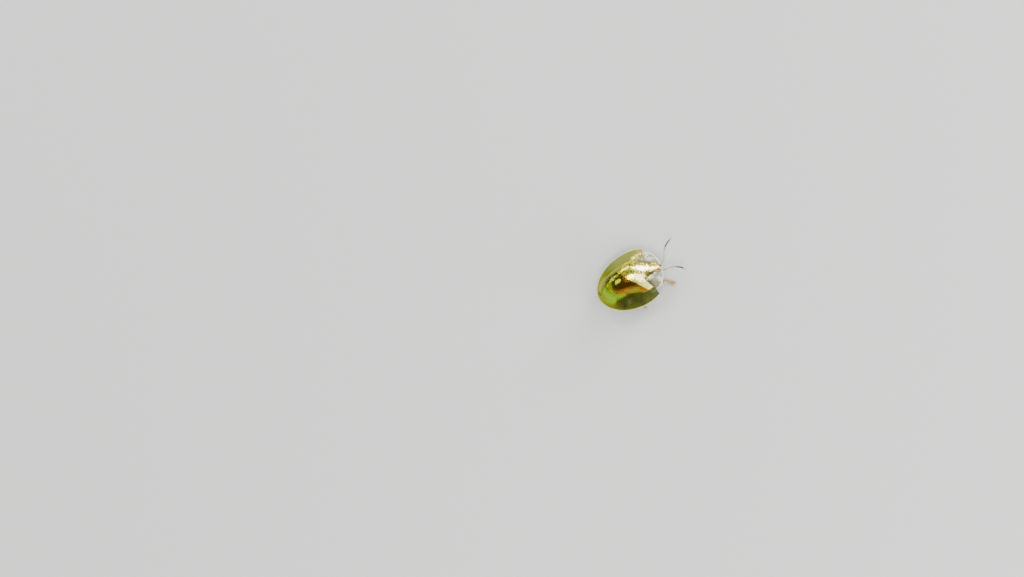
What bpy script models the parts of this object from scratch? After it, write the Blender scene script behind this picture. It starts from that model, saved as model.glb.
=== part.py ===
"""A golden tortoise beetle, life size, walking with its feelers spread.

The head faces -Y, the beetle's left is +X and the feet stand on z = 0. Places on the
beetle are given as (left, ahead, up): up is counted from the plane of the wing cases' rim.
"""

from dataclasses import dataclass
from math import atan2, cos, exp, hypot, pi, radians, sin, sqrt, tan

import bmesh
import bpy
from mathutils import Matrix, Vector

MM = 0.001

# Driving dimensions of the whole beetle
BODY_LENGTH = 8.0 * MM
HALF_WIDTH = 3.55 * MM
REAR_REACH = 4.72 * MM
FRONT_REACH = 3.91 * MM
RIM_HEIGHT = 1.0 * MM
FEELER_REACH = 5.77 * MM
CENTRE_AHEAD = (FEELER_REACH - REAR_REACH) / 2

# Gaps between neighbouring pieces
GAP = 0.25 * MM
FINE_GAP = 0.12 * MM
WELD = 1e-7

# The dome over the body, and the flat margin round it
PEAK_AHEAD = 0.3 * MM
PEAK_UP = 2.85 * MM
DISC_HALF_WIDTH = 2.1 * MM
DISC_REAR = 4.4 * MM
DISC_FRONT = 2.7 * MM
DISC_SQUARENESS = 2.3
DOME_FULLNESS = 2.0
DOME_SWELL = 0.72
MARGIN_SLOPE = radians(15)
CREASE = 0.40 * MM
RIM_BEAD = 0.05 * MM
HUMERUS = (1.52 * MM, 0.78 * MM)
HUMERUS_SPREAD = (0.34 * MM, 0.42 * MM)
HUMERUS_UP = 0.10 * MM

# Wing cases
WALL = 0.5 * MM
SEAM_HALF = GAP / 2
RAY_START_AHEAD = 0.12 * MM
NOTCH_LEFT = 0.42 * MM
NOTCH_AHEAD = 0.72 * MM
SHOULDER_AHEAD = 1.92 * MM
BASE_RAYS = 9
RIM_RAYS = 23
DISC_RINGS = 9
MARGIN_RINGS = 4
DISC_SHARE = 0.68

# Pronotum and scutellum
BASE_MIDDLE = 0.95 * MM
BASE_CORNER = 1.80 * MM
BASE_LOBE = 0.10 * MM
SHIELD_HALF = 2.40 * MM
SHIELD_CENTRE = 1.80 * MM
SHIELD_FRONT = BODY_LENGTH - REAR_REACH
SHIELD_EDGE_UP = 0.26 * MM
SHIELD_DROP = 0.08 * MM
SHIELD_COLUMNS = 12
SHIELD_ROWS = 9
SCUTELLUM_TIP = 0.30 * MM
SCUTELLUM_BASE = 0.76 * MM
SCUTELLUM_HALF = 0.27 * MM

# Thorax and abdomen, one form parted by a thin cut
TRUNK_FRONT = 1.62 * MM
TRUNK_REAR = -3.55 * MM
TRUNK_BELOW = 0.36 * MM
TRUNK_SIDES = 24
TRUNK_RINGS = 30
WAIST_AHEAD = -1.0 * MM
VENTRITES = 5
GROOVE_DEPTH = 0.05 * MM
GROOVE_WIDTH = 0.08 * MM
COVER_DEPTH = WALL + FINE_GAP
COVER_PROBES = 12

# Head and eyes
HEAD_PLACE = (0.0, 2.22 * MM, -0.22 * MM)
HEAD_RADII = (0.56 * MM, 0.47 * MM, 0.40 * MM)
EYE_PLACE = (0.47 * MM, 0.12 * MM, 0.07 * MM)
EYE_RADII = (0.20 * MM, 0.24 * MM, 0.29 * MM)

# Feelers
FEELER_SEGMENT_LENGTHS = (1.7, 0.8, 1.0, 1.0, 1.0, 0.9, 0.9, 0.9, 0.9, 0.9, 1.3)
FEELER_ROOT_RADIUS = 0.23 * MM
FEELER_TIP_RADIUS = 0.13 * MM
FEELER_WAIST = 0.84
FEELER_TIP_POINT = 0.45
FEELER_STEPS = 240
PIT_MARGIN = 0.02 * MM

# Legs
COXA_UP = -0.44 * MM
KNEE_UP = -0.46 * MM
ANKLE_UP = -0.70 * MM
TOE_UP = -0.88 * MM
COXA_RADIUS = 0.25 * MM
FEMUR_RADII = (0.19 * MM, 0.26 * MM, 0.25 * MM, 0.18 * MM)
TIBIA_RADII = (0.17 * MM, 0.20 * MM, 0.25 * MM)
TARSUS_HALF_WIDTH = 0.27 * MM
TARSUS_HALF_HEIGHT = 0.17 * MM
LOBE_SPREAD = radians(17)
CLAW_RADII = (0.10 * MM, 0.08 * MM, 0.03 * MM)
CLAW_STEPS = 4
CLAW_LENGTH = 0.24 * MM
CLAW_APART = 0.03 * MM
CLAW_ARCH = 0.02 * MM
CLAW_DROP = 0.05 * MM
LEG_CLEARANCE = 0.14 * MM


@dataclass(frozen=True)
class Leg:
    """One leg's joints as (left, ahead), in millimetres."""

    name: str
    coxa: tuple
    knee: tuple
    ankle: tuple
    toe: tuple


LEGS = (
    Leg("leg_front_right", (-0.48, 1.18), (-1.78, 1.72), (-1.50, 3.00), (-2.18, 3.78)),
    Leg("leg_middle_right", (-0.72, 0.30), (-1.55, 0.05), (-2.60, -0.44), (-3.28, -0.24)),
    Leg("leg_hind_right", (-0.72, -0.55), (-1.55, -1.20), (-1.68, -2.20), (-2.34, -2.50)),
    Leg("leg_front_left", (0.48, 1.18), (1.62, 1.72), (2.45, 1.72), (3.12, 1.50)),
    Leg("leg_middle_left", (0.72, 0.30), (1.58, 0.40), (2.55, 0.32), (3.22, 0.12)),
    Leg("leg_hind_left", (0.72, -0.55), (1.48, -1.35), (1.95, -2.30), (2.30, -2.95)),
)

# The feelers' paths from socket to tip, as (left, ahead, up) in millimetres
FEELER_PATHS = {
    "antenna_right": (
        (-0.32, 2.80, -0.30), (-0.40, 3.25, -0.28), (-0.50, 3.80, -0.14),
        (-0.68, 4.45, -0.06), (-1.08, 5.15, -0.10), (-1.60, 5.62, -0.20),
    ),
    "antenna_left": (
        (0.32, 2.80, -0.30), (0.46, 3.35, -0.28), (0.98, 3.85, -0.12),
        (1.75, 4.20, -0.02), (2.35, 4.78, -0.04), (2.76, 5.50, -0.14),
    ),
}

@dataclass(frozen=True)
class Swelling:
    """A rounded part of the face: place from the head's middle, radii in millimetres, tilt."""

    place: tuple
    radii: tuple
    tilt: float = 0.0
    paired: bool = False


FACE = {
    "clypeus": Swelling((0.0, 0.30, -0.10), (0.20, 0.19, 0.25), -24),
    "labrum": Swelling((0.0, 0.28, -0.34), (0.17, 0.12, 0.09), -35),
    "cheek": Swelling((0.27, 0.10, -0.22), (0.19, 0.22, 0.16), 0, True),
    "palp_root": Swelling((0.30, 0.06, -0.35), (0.085, 0.09, 0.085), 0, True),
    "palp_middle": Swelling((0.35, 0.16, -0.42), (0.075, 0.10, 0.075), -25, True),
    "palp_tip": Swelling((0.33, 0.29, -0.46), (0.065, 0.11, 0.065), 0, True),
    "lip_palp": Swelling((0.12, 0.16, -0.46), (0.06, 0.12, 0.06), 0, True),
}

# A jaw's path from its root to its tip, from the head's middle, in millimetres
JAW_PATH = ((0.19, 0.16, -0.30), (0.21, 0.24, -0.37), (0.16, 0.30, -0.43), (0.05, 0.31, -0.46))
JAW_RADII = (0.11 * MM, 0.085 * MM, 0.05 * MM)
JAW_STEPS = 6

# Colour, roughness and metallic value of each finish
FINISHES = {
    "gold_shell": ((0.80, 0.58, 0.10), 0.18, 0.9),
    "pale_shield": ((0.86, 0.80, 0.55), 0.2, 0.5),
    "amber_body": ((0.42, 0.26, 0.10), 0.4, 0.0),
    "amber_head": ((0.52, 0.34, 0.14), 0.35, 0.0),
    "dark_eye": ((0.03, 0.02, 0.02), 0.15, 0.0),
    "feeler": ((0.62, 0.50, 0.26), 0.4, 0.0),
    "leg": ((0.74, 0.48, 0.26), 0.4, 0.0),
}


def clear_scene():
    """Remove whatever objects the file opened with."""
    for item in list(bpy.data.objects):
        bpy.data.objects.remove(item, do_unlink=True)


def collection(name):
    """Make a collection in the scene."""
    made = bpy.data.collections.new(name)
    bpy.context.scene.collection.children.link(made)
    return made


def finish(name):
    """Return the material of this name, making it the first time."""
    found = bpy.data.materials.get(name)
    if found:
        return found
    colour, roughness, metallic = FINISHES[name]
    made = bpy.data.materials.new(name)
    made.use_nodes = True
    shader = made.node_tree.nodes["Principled BSDF"]
    shader.inputs["Base Color"].default_value = (*colour, 1.0)
    shader.inputs["Roughness"].default_value = roughness
    shader.inputs["Metallic"].default_value = metallic
    return made


def place(left, ahead, up):
    """Turn a place on the beetle into world coordinates."""
    return Vector((left, CENTRE_AHEAD - ahead, up + RIM_HEIGHT))


def place_mm(point):
    """Turn a (left, ahead, up) triple in millimetres into world coordinates."""
    left, ahead, up = point
    return place(left * MM, ahead * MM, up * MM)


def leg_joints(plan):
    """World places of a leg's coxa, knee, ankle and toe."""
    joints = (plan.coxa, COXA_UP), (plan.knee, KNEE_UP), (plan.ankle, ANKLE_UP), (plan.toe, TOE_UP)
    return [place(left * MM, ahead * MM, up) for (left, ahead), up in joints]


def blend(low, high, share):
    """Go smoothly from 0 to 1 as share goes from low to high."""
    t = min(1.0, max(0.0, (share - low) / (high - low)))
    return t * t * (3 - 2 * t)


def rim_ratio(left, ahead):
    """1 on the wing cases' outline, less inside it."""
    reach = FRONT_REACH if ahead > 0 else REAR_REACH
    return hypot(left / HALF_WIDTH, ahead / reach)


def disc_gauge(left, ahead):
    """1 on the edge of the domed disc, 0 under its peak."""
    from_peak = ahead - PEAK_AHEAD
    if from_peak > 0:
        return hypot(left / DISC_HALF_WIDTH, from_peak / DISC_FRONT)
    across = abs(left / DISC_HALF_WIDTH) ** DISC_SQUARENESS
    along = abs(from_peak / DISC_REAR) ** DISC_SQUARENESS
    return (across + along) ** (1 / DISC_SQUARENESS)


def disc_half_width(ahead):
    """How far out the domed disc reaches at this distance ahead."""
    from_peak = ahead - PEAK_AHEAD
    if from_peak > 0:
        return DISC_HALF_WIDTH * sqrt(max(0.0, 1 - (from_peak / DISC_FRONT) ** 2))
    rest = max(0.0, 1 - abs(from_peak / DISC_REAR) ** DISC_SQUARENESS)
    return DISC_HALF_WIDTH * rest ** (1 / DISC_SQUARENESS)


def ridge_up(ahead):
    """Height of the dome along the middle of the back: steep behind, sloping in front."""
    from_peak = ahead - PEAK_AHEAD
    if from_peak > 0:
        return PEAK_UP * max(0.0, 1 - (from_peak / DISC_FRONT) ** 1.3) ** 0.95
    return PEAK_UP * max(0.0, 1 - abs(from_peak / DISC_REAR) ** 2.3) ** 0.62


def dome_up(left, ahead):
    """Height of the dome, which falls below the rim outside the disc."""
    gauge = disc_gauge(left, ahead)
    if gauge >= 1:
        return (1 - gauge) * PEAK_UP
    ratio = left / disc_half_width(ahead)
    return ridge_up(ahead) * (1 - abs(ratio) ** DOME_FULLNESS) ** DOME_SWELL


def soft_max(first, second, width):
    """The greater of two heights, rounded where they meet."""
    return (first + second + sqrt((first - second) ** 2 + width**2)) / 2


def wing_case_up(left, ahead):
    """Height of the wing cases' outer surface."""
    inward = (1 - rim_ratio(left, ahead)) * HALF_WIDTH
    margin = max(0.0, inward) * tan(MARGIN_SLOPE)
    bead = RIM_BEAD * blend(0.25 * MM, 0.0, inward)
    across = (abs(left) - HUMERUS[0]) / HUMERUS_SPREAD[0]
    along = (ahead - HUMERUS[1]) / HUMERUS_SPREAD[1]
    humerus = HUMERUS_UP * exp(-(across**2) - along**2)
    return soft_max(dome_up(left, ahead), margin, CREASE) + bead + humerus


def shield_ratio(left, ahead):
    """1 on the pronotum's outline, less inside it."""
    depth = SHIELD_FRONT - SHIELD_CENTRE
    return hypot(left / SHIELD_HALF, max(0.0, ahead - SHIELD_CENTRE) / depth)


def shield_up(left, ahead):
    """Height of the pronotum's outer surface."""
    inward = max(0.0, 1 - shield_ratio(left, ahead)) * SHIELD_HALF
    margin = SHIELD_EDGE_UP + inward * tan(MARGIN_SLOPE) * 0.6
    return soft_max(dome_up(left, ahead), margin, CREASE) - SHIELD_DROP


def base_line(left):
    """How far ahead the joint between pronotum and wing cases lies."""
    share = min(1.0, abs(left) / SHIELD_HALF)
    lobe = BASE_LOBE * exp(-((left / (0.35 * MM)) ** 2))
    return BASE_MIDDLE + (BASE_CORNER - BASE_MIDDLE) * share**1.9 - lobe


def shoulder_left():
    """How far out the shoulder angle is, where the rim reaches SHOULDER_AHEAD."""
    return HALF_WIDTH * sqrt(1 - (SHOULDER_AHEAD / FRONT_REACH) ** 2)


def front_edge(left):
    """How far ahead a wing case's front edge lies."""
    edge = base_line(left) - GAP / 2
    beyond = abs(left) - SHIELD_HALF
    if beyond <= 0:
        return edge
    corner = base_line(SHIELD_HALF) - GAP / 2
    rise = (SHOULDER_AHEAD - corner) / (shoulder_left() - SHIELD_HALF)
    return corner + beyond * rise


def seam_left(ahead):
    """How far out a wing case's inner edge lies: along the seam, then past the scutellum."""
    share = (ahead - RAY_START_AHEAD) / (NOTCH_AHEAD - RAY_START_AHEAD)
    return SEAM_HALF + (NOTCH_LEFT - SEAM_HALF) * min(1.0, max(0.0, share))


def reach(start, facing, inside):
    """Distance from start along facing to the last place that is inside."""
    near, far = 0.0, BODY_LENGTH
    for _ in range(50):
        middle = (near + far) / 2
        if inside(start[0] + facing[0] * middle, start[1] + facing[1] * middle):
            near = middle
        else:
            far = middle
    return near


def link(mesh_name, shape, group, material):
    """Make an object of a finished bmesh and put it in a collection."""
    mesh = bpy.data.meshes.new(mesh_name)
    shape.to_mesh(mesh)
    shape.free()
    item = bpy.data.objects.new(mesh_name, mesh)
    group.objects.link(item)
    if material:
        mesh.materials.append(finish(material))
    return item


def smooth(item, angle=35):
    """Shade an object smooth except at its sharp edges."""
    item.data.shade_smooth()
    item.data.set_sharp_from_angle(angle=radians(angle))


def apply_modifiers(item):
    """Replace an object's mesh by its evaluated one."""
    evaluated = item.evaluated_get(bpy.context.evaluated_depsgraph_get())
    mesh = bpy.data.meshes.new_from_object(evaluated)
    item.modifiers.clear()
    item.data = mesh


def face_up(shape):
    """Turn an open sheet's faces upwards."""
    if sum(face.normal.z * face.calc_area() for face in shape.faces) < 0:
        bmesh.ops.reverse_faces(shape, faces=shape.faces)


def face_out(shape):
    """Turn a closed surface's faces outwards."""
    bmesh.ops.recalc_face_normals(shape, faces=shape.faces)
    if shape.calc_volume(signed=True) < 0:
        bmesh.ops.reverse_faces(shape, faces=shape.faces)


def thicken(item, group_name):
    """Give an open sheet its wall, inwards, thinner where its vertex group is low."""
    wall = item.modifiers.new("wall", "SOLIDIFY")
    wall.thickness = WALL
    wall.offset = -1
    wall.vertex_group = group_name
    wall.thickness_vertex_group = 0.0


def hold_clear(item, limit):
    """Draw a plate's wall back to its outline, which limit(left, ahead) gives."""
    for vert in item.data.vertices:
        left, ahead = limit(vert.co.x, CENTRE_AHEAD - vert.co.y)
        vert.co.x = left
        vert.co.y = CENTRE_AHEAD - ahead


def mapped_grid(columns, rows, point):
    """An open sheet whose point(u, v) takes u and v from 0 to 1.

    The point function returns (left, ahead, up, share of the wall's thickness).
    """
    shape = bmesh.new()
    bmesh.ops.create_grid(shape, x_segments=columns, y_segments=rows, size=0.5)
    weights = shape.verts.layers.deform.verify()
    for vert in shape.verts:
        u = round((vert.co.x + 0.5) * columns) / columns
        v = round((vert.co.y + 0.5) * rows) / rows
        left, ahead, up, share = point(u, v)
        vert.co = place(left, ahead, up)
        vert[weights][0] = share
    bmesh.ops.remove_doubles(shape, verts=shape.verts, dist=WELD)
    bmesh.ops.recalc_face_normals(shape, faces=shape.faces)
    face_up(shape)
    return shape


def wing_case(name, side, group):
    """A wing case: rays from beside the scutellum out to the base and the rim."""
    start = (SEAM_HALF, RAY_START_AHEAD)
    notch = atan2(NOTCH_LEFT - start[0], NOTCH_AHEAD - start[1])
    corner = atan2(SHIELD_HALF - start[0], front_edge(SHIELD_HALF) - start[1])
    shoulder = atan2(shoulder_left() - start[0], SHOULDER_AHEAD - start[1])
    rays = BASE_RAYS + RIM_RAYS
    rings = DISC_RINGS + MARGIN_RINGS

    def inside(left, ahead):
        return rim_ratio(left, ahead) < 1 and ahead < front_edge(left)

    def ray_angle(u):
        ray = round(u * rays)
        if ray < BASE_RAYS:
            return notch + (corner - notch) * ray / (BASE_RAYS - 1)
        return shoulder + (pi - shoulder) * (ray - BASE_RAYS) / RIM_RAYS

    def point(u, v):
        facing = (sin(ray_angle(u)), cos(ray_angle(u)))
        whole = reach(start, facing, inside)
        disc = reach(start, facing, lambda left, ahead: disc_gauge(left, ahead) < 0.985)
        disc = min(disc, whole * 0.8)
        if v <= DISC_SHARE:
            distance = disc * (1 - (1 - v / DISC_SHARE) ** 1.45)
        else:
            distance = disc + (whole - disc) * (v - DISC_SHARE) / (1 - DISC_SHARE)
        left = start[0] + facing[0] * distance
        ahead = start[1] + facing[1] * distance
        inward = (1 - rim_ratio(left, ahead)) * HALF_WIDTH
        share = 0.38 + 0.42 * blend(0, 0.5 * MM, inward) + 0.2 * blend(1.0, 0.85, disc_gauge(left, ahead))
        return side * left, ahead, wing_case_up(left, ahead), share

    def outline(left, ahead):
        out = max(side * left, seam_left(ahead))
        return side * out, min(ahead, front_edge(out))

    item = link(name, mapped_grid(rays, rings, point), group, "gold_shell")
    item.vertex_groups.new(name="wall")
    thicken(item, "wall")
    apply_modifiers(item)
    hold_clear(item, outline)
    smooth(item)
    return item


def pronotum(group):
    """The shield over head and thorax: half a sheet from base to front edge, mirrored."""

    def point(u, v):
        base_left = u * SHIELD_HALF * 0.94
        base_ahead = base_line(base_left) + GAP / 2
        angle = pi / 2 * (1 - u**1.15)
        edge_left = SHIELD_HALF * cos(angle)
        edge_ahead = SHIELD_CENTRE + (SHIELD_FRONT - SHIELD_CENTRE) * sin(angle)
        along = 1 - (1 - v) ** 1.2
        left = base_left + (edge_left - base_left) * along
        ahead = base_ahead + (edge_ahead - base_ahead) * along
        share = 0.34 + 0.26 * blend(1.0, 0.85, shield_ratio(left, ahead))
        share += 0.3 * blend(2.2 * MM, 1.3 * MM, ahead)
        return left, ahead, shield_up(left, ahead), share

    def outline(left, ahead):
        return left, max(ahead, base_line(left) + GAP / 2)

    item = link("pronotum", mapped_grid(SHIELD_COLUMNS, SHIELD_ROWS, point), group, "pale_shield")
    item.vertex_groups.new(name="wall")
    mirror = item.modifiers.new("mirror", "MIRROR")
    mirror.use_axis = (True, False, False)
    mirror.merge_threshold = WELD
    thicken(item, "wall")
    apply_modifiers(item)
    hold_clear(item, outline)
    smooth(item)
    return item


def scutellum(group):
    """The small triangle between the wing cases' bases."""

    def point(u, v):
        left = (u - 0.5) * 2 * SCUTELLUM_HALF * v
        ahead = SCUTELLUM_TIP + (SCUTELLUM_BASE - SCUTELLUM_TIP) * v
        return left, ahead, wing_case_up(left, ahead) + 0.02 * MM, 0.9

    def outline(left, ahead):
        ahead = min(SCUTELLUM_BASE, max(SCUTELLUM_TIP + 0.02 * MM, ahead))
        out = SCUTELLUM_HALF * (ahead - SCUTELLUM_TIP) / (SCUTELLUM_BASE - SCUTELLUM_TIP)
        return min(out, max(-out, left)), ahead

    item = link("scutellum", mapped_grid(4, 4, point), group, "gold_shell")
    item.vertex_groups.new(name="wall")
    thicken(item, "wall")
    apply_modifiers(item)
    hold_clear(item, outline)
    smooth(item)
    return item


def ellipsoid(centre, radii, turn=None, sides=12, rings=8):
    """A closed bmesh ball stretched to three radii, turned, and set at a world place."""
    shape = bmesh.new()
    bmesh.ops.create_uvsphere(shape, u_segments=sides, v_segments=rings, radius=1.0)
    scale = Matrix.Diagonal((*radii, 1.0))
    turned = turn.to_4x4() if turn else Matrix.Identity(4)
    bmesh.ops.transform(shape, matrix=Matrix.Translation(centre) @ turned @ scale, verts=shape.verts)
    return shape


def tube(points, radii, sides=8):
    """A closed bmesh tube along world points, from a curve with filled caps."""
    curve = bpy.data.curves.new("tube", "CURVE")
    curve.dimensions = "3D"
    curve.bevel_depth = MM
    curve.bevel_resolution = max(0, sides // 2 - 2)
    curve.use_fill_caps = True
    spline = curve.splines.new("POLY")
    spline.points.add(len(points) - 1)
    for knot, point, radius in zip(spline.points, points, radii):
        knot.co = (*point, 1.0)
        knot.radius = radius / MM
    item = bpy.data.objects.new("tube", curve)
    bpy.context.scene.collection.objects.link(item)
    mesh = bpy.data.meshes.new_from_object(item.evaluated_get(bpy.context.evaluated_depsgraph_get()))
    bpy.data.objects.remove(item, do_unlink=True)
    shape = bmesh.new()
    shape.from_mesh(mesh)
    bpy.data.meshes.remove(mesh)
    bmesh.ops.remove_doubles(shape, verts=shape.verts, dist=WELD)
    face_out(shape)
    return shape


def smooth_path(points, steps):
    """Points evenly spread on a smooth curve through the given ones."""
    ends = [points[0] * 2 - points[1], *points, points[-1] * 2 - points[-2]]
    spans = len(points) - 1
    path = []
    for step in range(steps + 1):
        along = step / steps * spans
        index = min(int(along), spans - 1)
        t = along - index
        before, here, there, after = ends[index : index + 4]
        path.append(
            (
                here * 2
                + (there - before) * t
                + (before * 2 - here * 5 + there * 4 - after) * t**2
                + (here * 3 - before - there * 3 + after) * t**3
            )
            / 2
        )
    return path


def keep_largest(item):
    """Keep only the largest closed surface of a mesh."""
    shape = bmesh.new()
    shape.from_mesh(item.data)
    left_over = set(shape.verts)
    islands = []
    while left_over:
        island = set()
        front = [left_over.pop()]
        while front:
            vert = front.pop()
            island.add(vert)
            for edge in vert.link_edges:
                other = edge.other_vert(vert)
                if other in left_over:
                    left_over.remove(other)
                    front.append(other)
        islands.append(island)
    islands.sort(key=len)
    loose = [vert for island in islands[:-1] for vert in island]
    bmesh.ops.delete(shape, geom=loose, context="VERTS")
    bmesh.ops.remove_doubles(shape, verts=shape.verts, dist=WELD)
    shape.to_mesh(item.data)
    shape.free()


def combine(item, shapes, operation, cutters):
    """Join closed shapes to an object, or cut them from it, in one Boolean."""
    pieces = bpy.data.collections.new("pieces")
    cutters.children.link(pieces)
    for shape in shapes:
        piece = link("piece", shape, pieces, None)
        piece.hide_render = True
        piece.display_type = "WIRE"
    boolean = item.modifiers.new("join", "BOOLEAN")
    boolean.operand_type = "COLLECTION"
    boolean.collection = pieces
    boolean.operation = operation
    boolean.solver = "MANIFOLD"
    apply_modifiers(item)
    for piece in list(pieces.objects):
        bpy.data.objects.remove(piece, do_unlink=True)
    bpy.data.collections.remove(pieces)
    keep_largest(item)


def joined(name, shapes, group, material, cutters):
    """One closed object made of overlapping closed shapes."""
    item = link(name, shapes[0], group, material)
    combine(item, shapes[1:], "UNION", cutters)
    return item


def cover_up(left, ahead):
    """Height of the outer surface over the trunk: wing cases behind, pronotum in front."""
    if ahead < base_line(left):
        return wing_case_up(left, ahead)
    return shield_up(left, ahead)


def under_cover(left, ahead):
    """Height of the surface that lies COVER_DEPTH inside the cover."""
    depth = COVER_DEPTH
    lowest = cover_up(left, ahead) - depth
    for ring in (0.4, 0.75, 0.95):
        drop = depth * sqrt(1 - ring**2)
        for step in range(COVER_PROBES):
            angle = 2 * pi * step / COVER_PROBES
            beside = cover_up(left + depth * ring * sin(angle), ahead + depth * ring * cos(angle))
            lowest = min(lowest, beside - drop)
    return lowest


def groove_up(ahead):
    """Depth of the furrow between two ventrites at this distance ahead."""
    span = (WAIST_AHEAD - TRUNK_REAR) / VENTRITES
    from_waist = (WAIST_AHEAD - ahead) / span
    if not 0.5 < from_waist < VENTRITES - 0.5:
        return 0.0
    nearest = abs(from_waist - round(from_waist)) * span
    return GROOVE_DEPTH * blend(GROOVE_WIDTH, 0.0, nearest)


def trunk_shape():
    """Thorax and abdomen in one: a ball shaped to its cover, flattened and grooved below."""
    middle = (TRUNK_FRONT + TRUNK_REAR) / 2
    half_length = (TRUNK_FRONT - TRUNK_REAR) / 2
    shape = bmesh.new()
    bmesh.ops.create_uvsphere(shape, u_segments=TRUNK_SIDES, v_segments=TRUNK_RINGS, radius=1.0)
    for vert in shape.verts:
        across, upward, along = vert.co
        around = max(hypot(across, upward), 1e-6)
        closing = sqrt(max(0.0, 1 - abs(along) ** 6))
        ahead = middle + half_length * along
        left = across / around * closing * (disc_half_width(ahead) - COVER_DEPTH)
        if upward >= 0:
            rise = min(PEAK_UP * closing * sqrt(upward / around), under_cover(left, ahead))
        else:
            rise = -((-upward / around) ** 0.7) * closing * TRUNK_BELOW + groove_up(ahead)
        vert.co = place(left, ahead, rise)
    face_out(shape)
    return shape


def cut_flat(shape, point, normal):
    """Take away what lies on the side the normal points to, and close the cut."""
    geometry = [*shape.verts, *shape.edges, *shape.faces]
    cut = bmesh.ops.bisect_plane(
        shape, geom=geometry, dist=WELD, plane_co=point, plane_no=normal, clear_outer=True
    )
    edges = [piece for piece in cut["geom_cut"] if isinstance(piece, bmesh.types.BMEdge)]
    bmesh.ops.holes_fill(shape, edges=edges, sides=0)
    face_out(shape)


def leg_spaces():
    """The rooms that coxae and femora fill in the trunk's underside."""
    spaces = []
    for plan in LEGS:
        coxa, knee, _, _ = leg_joints(plan)
        radius = COXA_RADIUS + LEG_CLEARANCE
        spaces.append(ellipsoid(coxa, (radius, radius, radius), sides=12, rings=8))
        spaces.append(tube([coxa, knee], [radius - 0.01 * MM, radius - 0.02 * MM], sides=10))
    return spaces


def trunk(group, cutters):
    """Thorax and abdomen, parted at the waist, with the legs' rooms cut out."""
    for name, forward in (("thorax", 1), ("abdomen", -1)):
        shape = trunk_shape()
        waist = place(0, WAIST_AHEAD + forward * GAP / 2, 0)
        cut_flat(shape, waist, Vector((0, forward, 0)))
        item = link(name, shape, group, "amber_body")
        combine(item, leg_spaces(), "DIFFERENCE", cutters)
        smooth(item)


def head_place(point, side=1):
    """World place of a point given in millimetres from the head's middle."""
    left, ahead, up = point
    middle = place(*HEAD_PLACE)
    return middle + Vector((side * left, -ahead, up)) * MM


def eye_centre(side):
    """Middle of an eye, on the side of the head."""
    out, ahead, up = EYE_PLACE
    return place(*HEAD_PLACE) + Vector((side * out, -ahead, up))


def tapered(points, radii, steps, sides):
    """A closed tube along a smooth curve, its radius going evenly through the given ones."""
    path = smooth_path(points, steps)
    spans = len(radii) - 1
    widths = []
    for step in range(steps + 1):
        along = step / steps * spans
        index = min(int(along), spans - 1)
        widths.append(radii[index] + (radii[index + 1] - radii[index]) * (along - index))
    return tube(path, widths, sides)


def face_parts():
    """The rounded parts of the face and the two jaws, as closed shapes."""
    shapes = []
    for part in FACE.values():
        turn = Matrix.Rotation(radians(part.tilt), 3, "X")
        radii = [radius * MM for radius in part.radii]
        for side in (1, -1) if part.paired else (1,):
            shapes.append(ellipsoid(head_place(part.place, side), radii, turn, sides=10, rings=8))
    for side in (1, -1):
        route = [head_place(point, side) for point in JAW_PATH]
        shapes.append(tapered(route, JAW_RADII, JAW_STEPS, sides=8))
    return shapes


def head(group, cutters):
    """Head capsule with clypeus, labrum, jaws and palps, and sockets for eyes and feelers."""
    capsule = ellipsoid(place(*HEAD_PLACE), HEAD_RADII, sides=20, rings=14)
    item = joined("head", [capsule, *face_parts()], group, "amber_head", cutters)
    sockets = []
    socket_radii = [radius + FINE_GAP for radius in EYE_RADII]
    pit = FEELER_ROOT_RADIUS + PIT_MARGIN
    for side, feeler in ((1, "antenna_left"), (-1, "antenna_right")):
        sockets.append(ellipsoid(eye_centre(side), socket_radii, sides=14, rings=10))
        root = place_mm(FEELER_PATHS[feeler][0])
        sockets.append(ellipsoid(root, (pit, FINE_GAP + PIT_MARGIN, pit), sides=10, rings=6))
    combine(item, sockets, "DIFFERENCE", cutters)
    smooth(item)


def eyes(group):
    """The two eyes, each a tall oval bead in its socket."""
    for name, side in (("eye_left", 1), ("eye_right", -1)):
        smooth(link(name, ellipsoid(eye_centre(side), EYE_RADII, sides=14, rings=10), group, "dark_eye"))


def antennae(group):
    """The two feelers, eleven segments each, narrow at every joint."""
    whole = sum(FEELER_SEGMENT_LENGTHS)
    for name, route in FEELER_PATHS.items():
        path = smooth_path([place_mm(point) for point in route], FEELER_STEPS)
        points = []
        radii = []
        run = 0.0
        for length in FEELER_SEGMENT_LENGTHS:
            for share, waist in ((0.0, FEELER_WAIST), (0.35, 1.0), (0.8, 1.0)):
                along = (run + share * length) / whole
                points.append(path[round(along * FEELER_STEPS)])
                radius = FEELER_ROOT_RADIUS + (FEELER_TIP_RADIUS - FEELER_ROOT_RADIUS) * along
                radii.append(radius * waist)
            run += length
        points.append(path[-1])
        radii.append(FEELER_TIP_RADIUS * FEELER_TIP_POINT)
        smooth(link(name, tube(points, radii), group, "feeler"))


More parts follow.
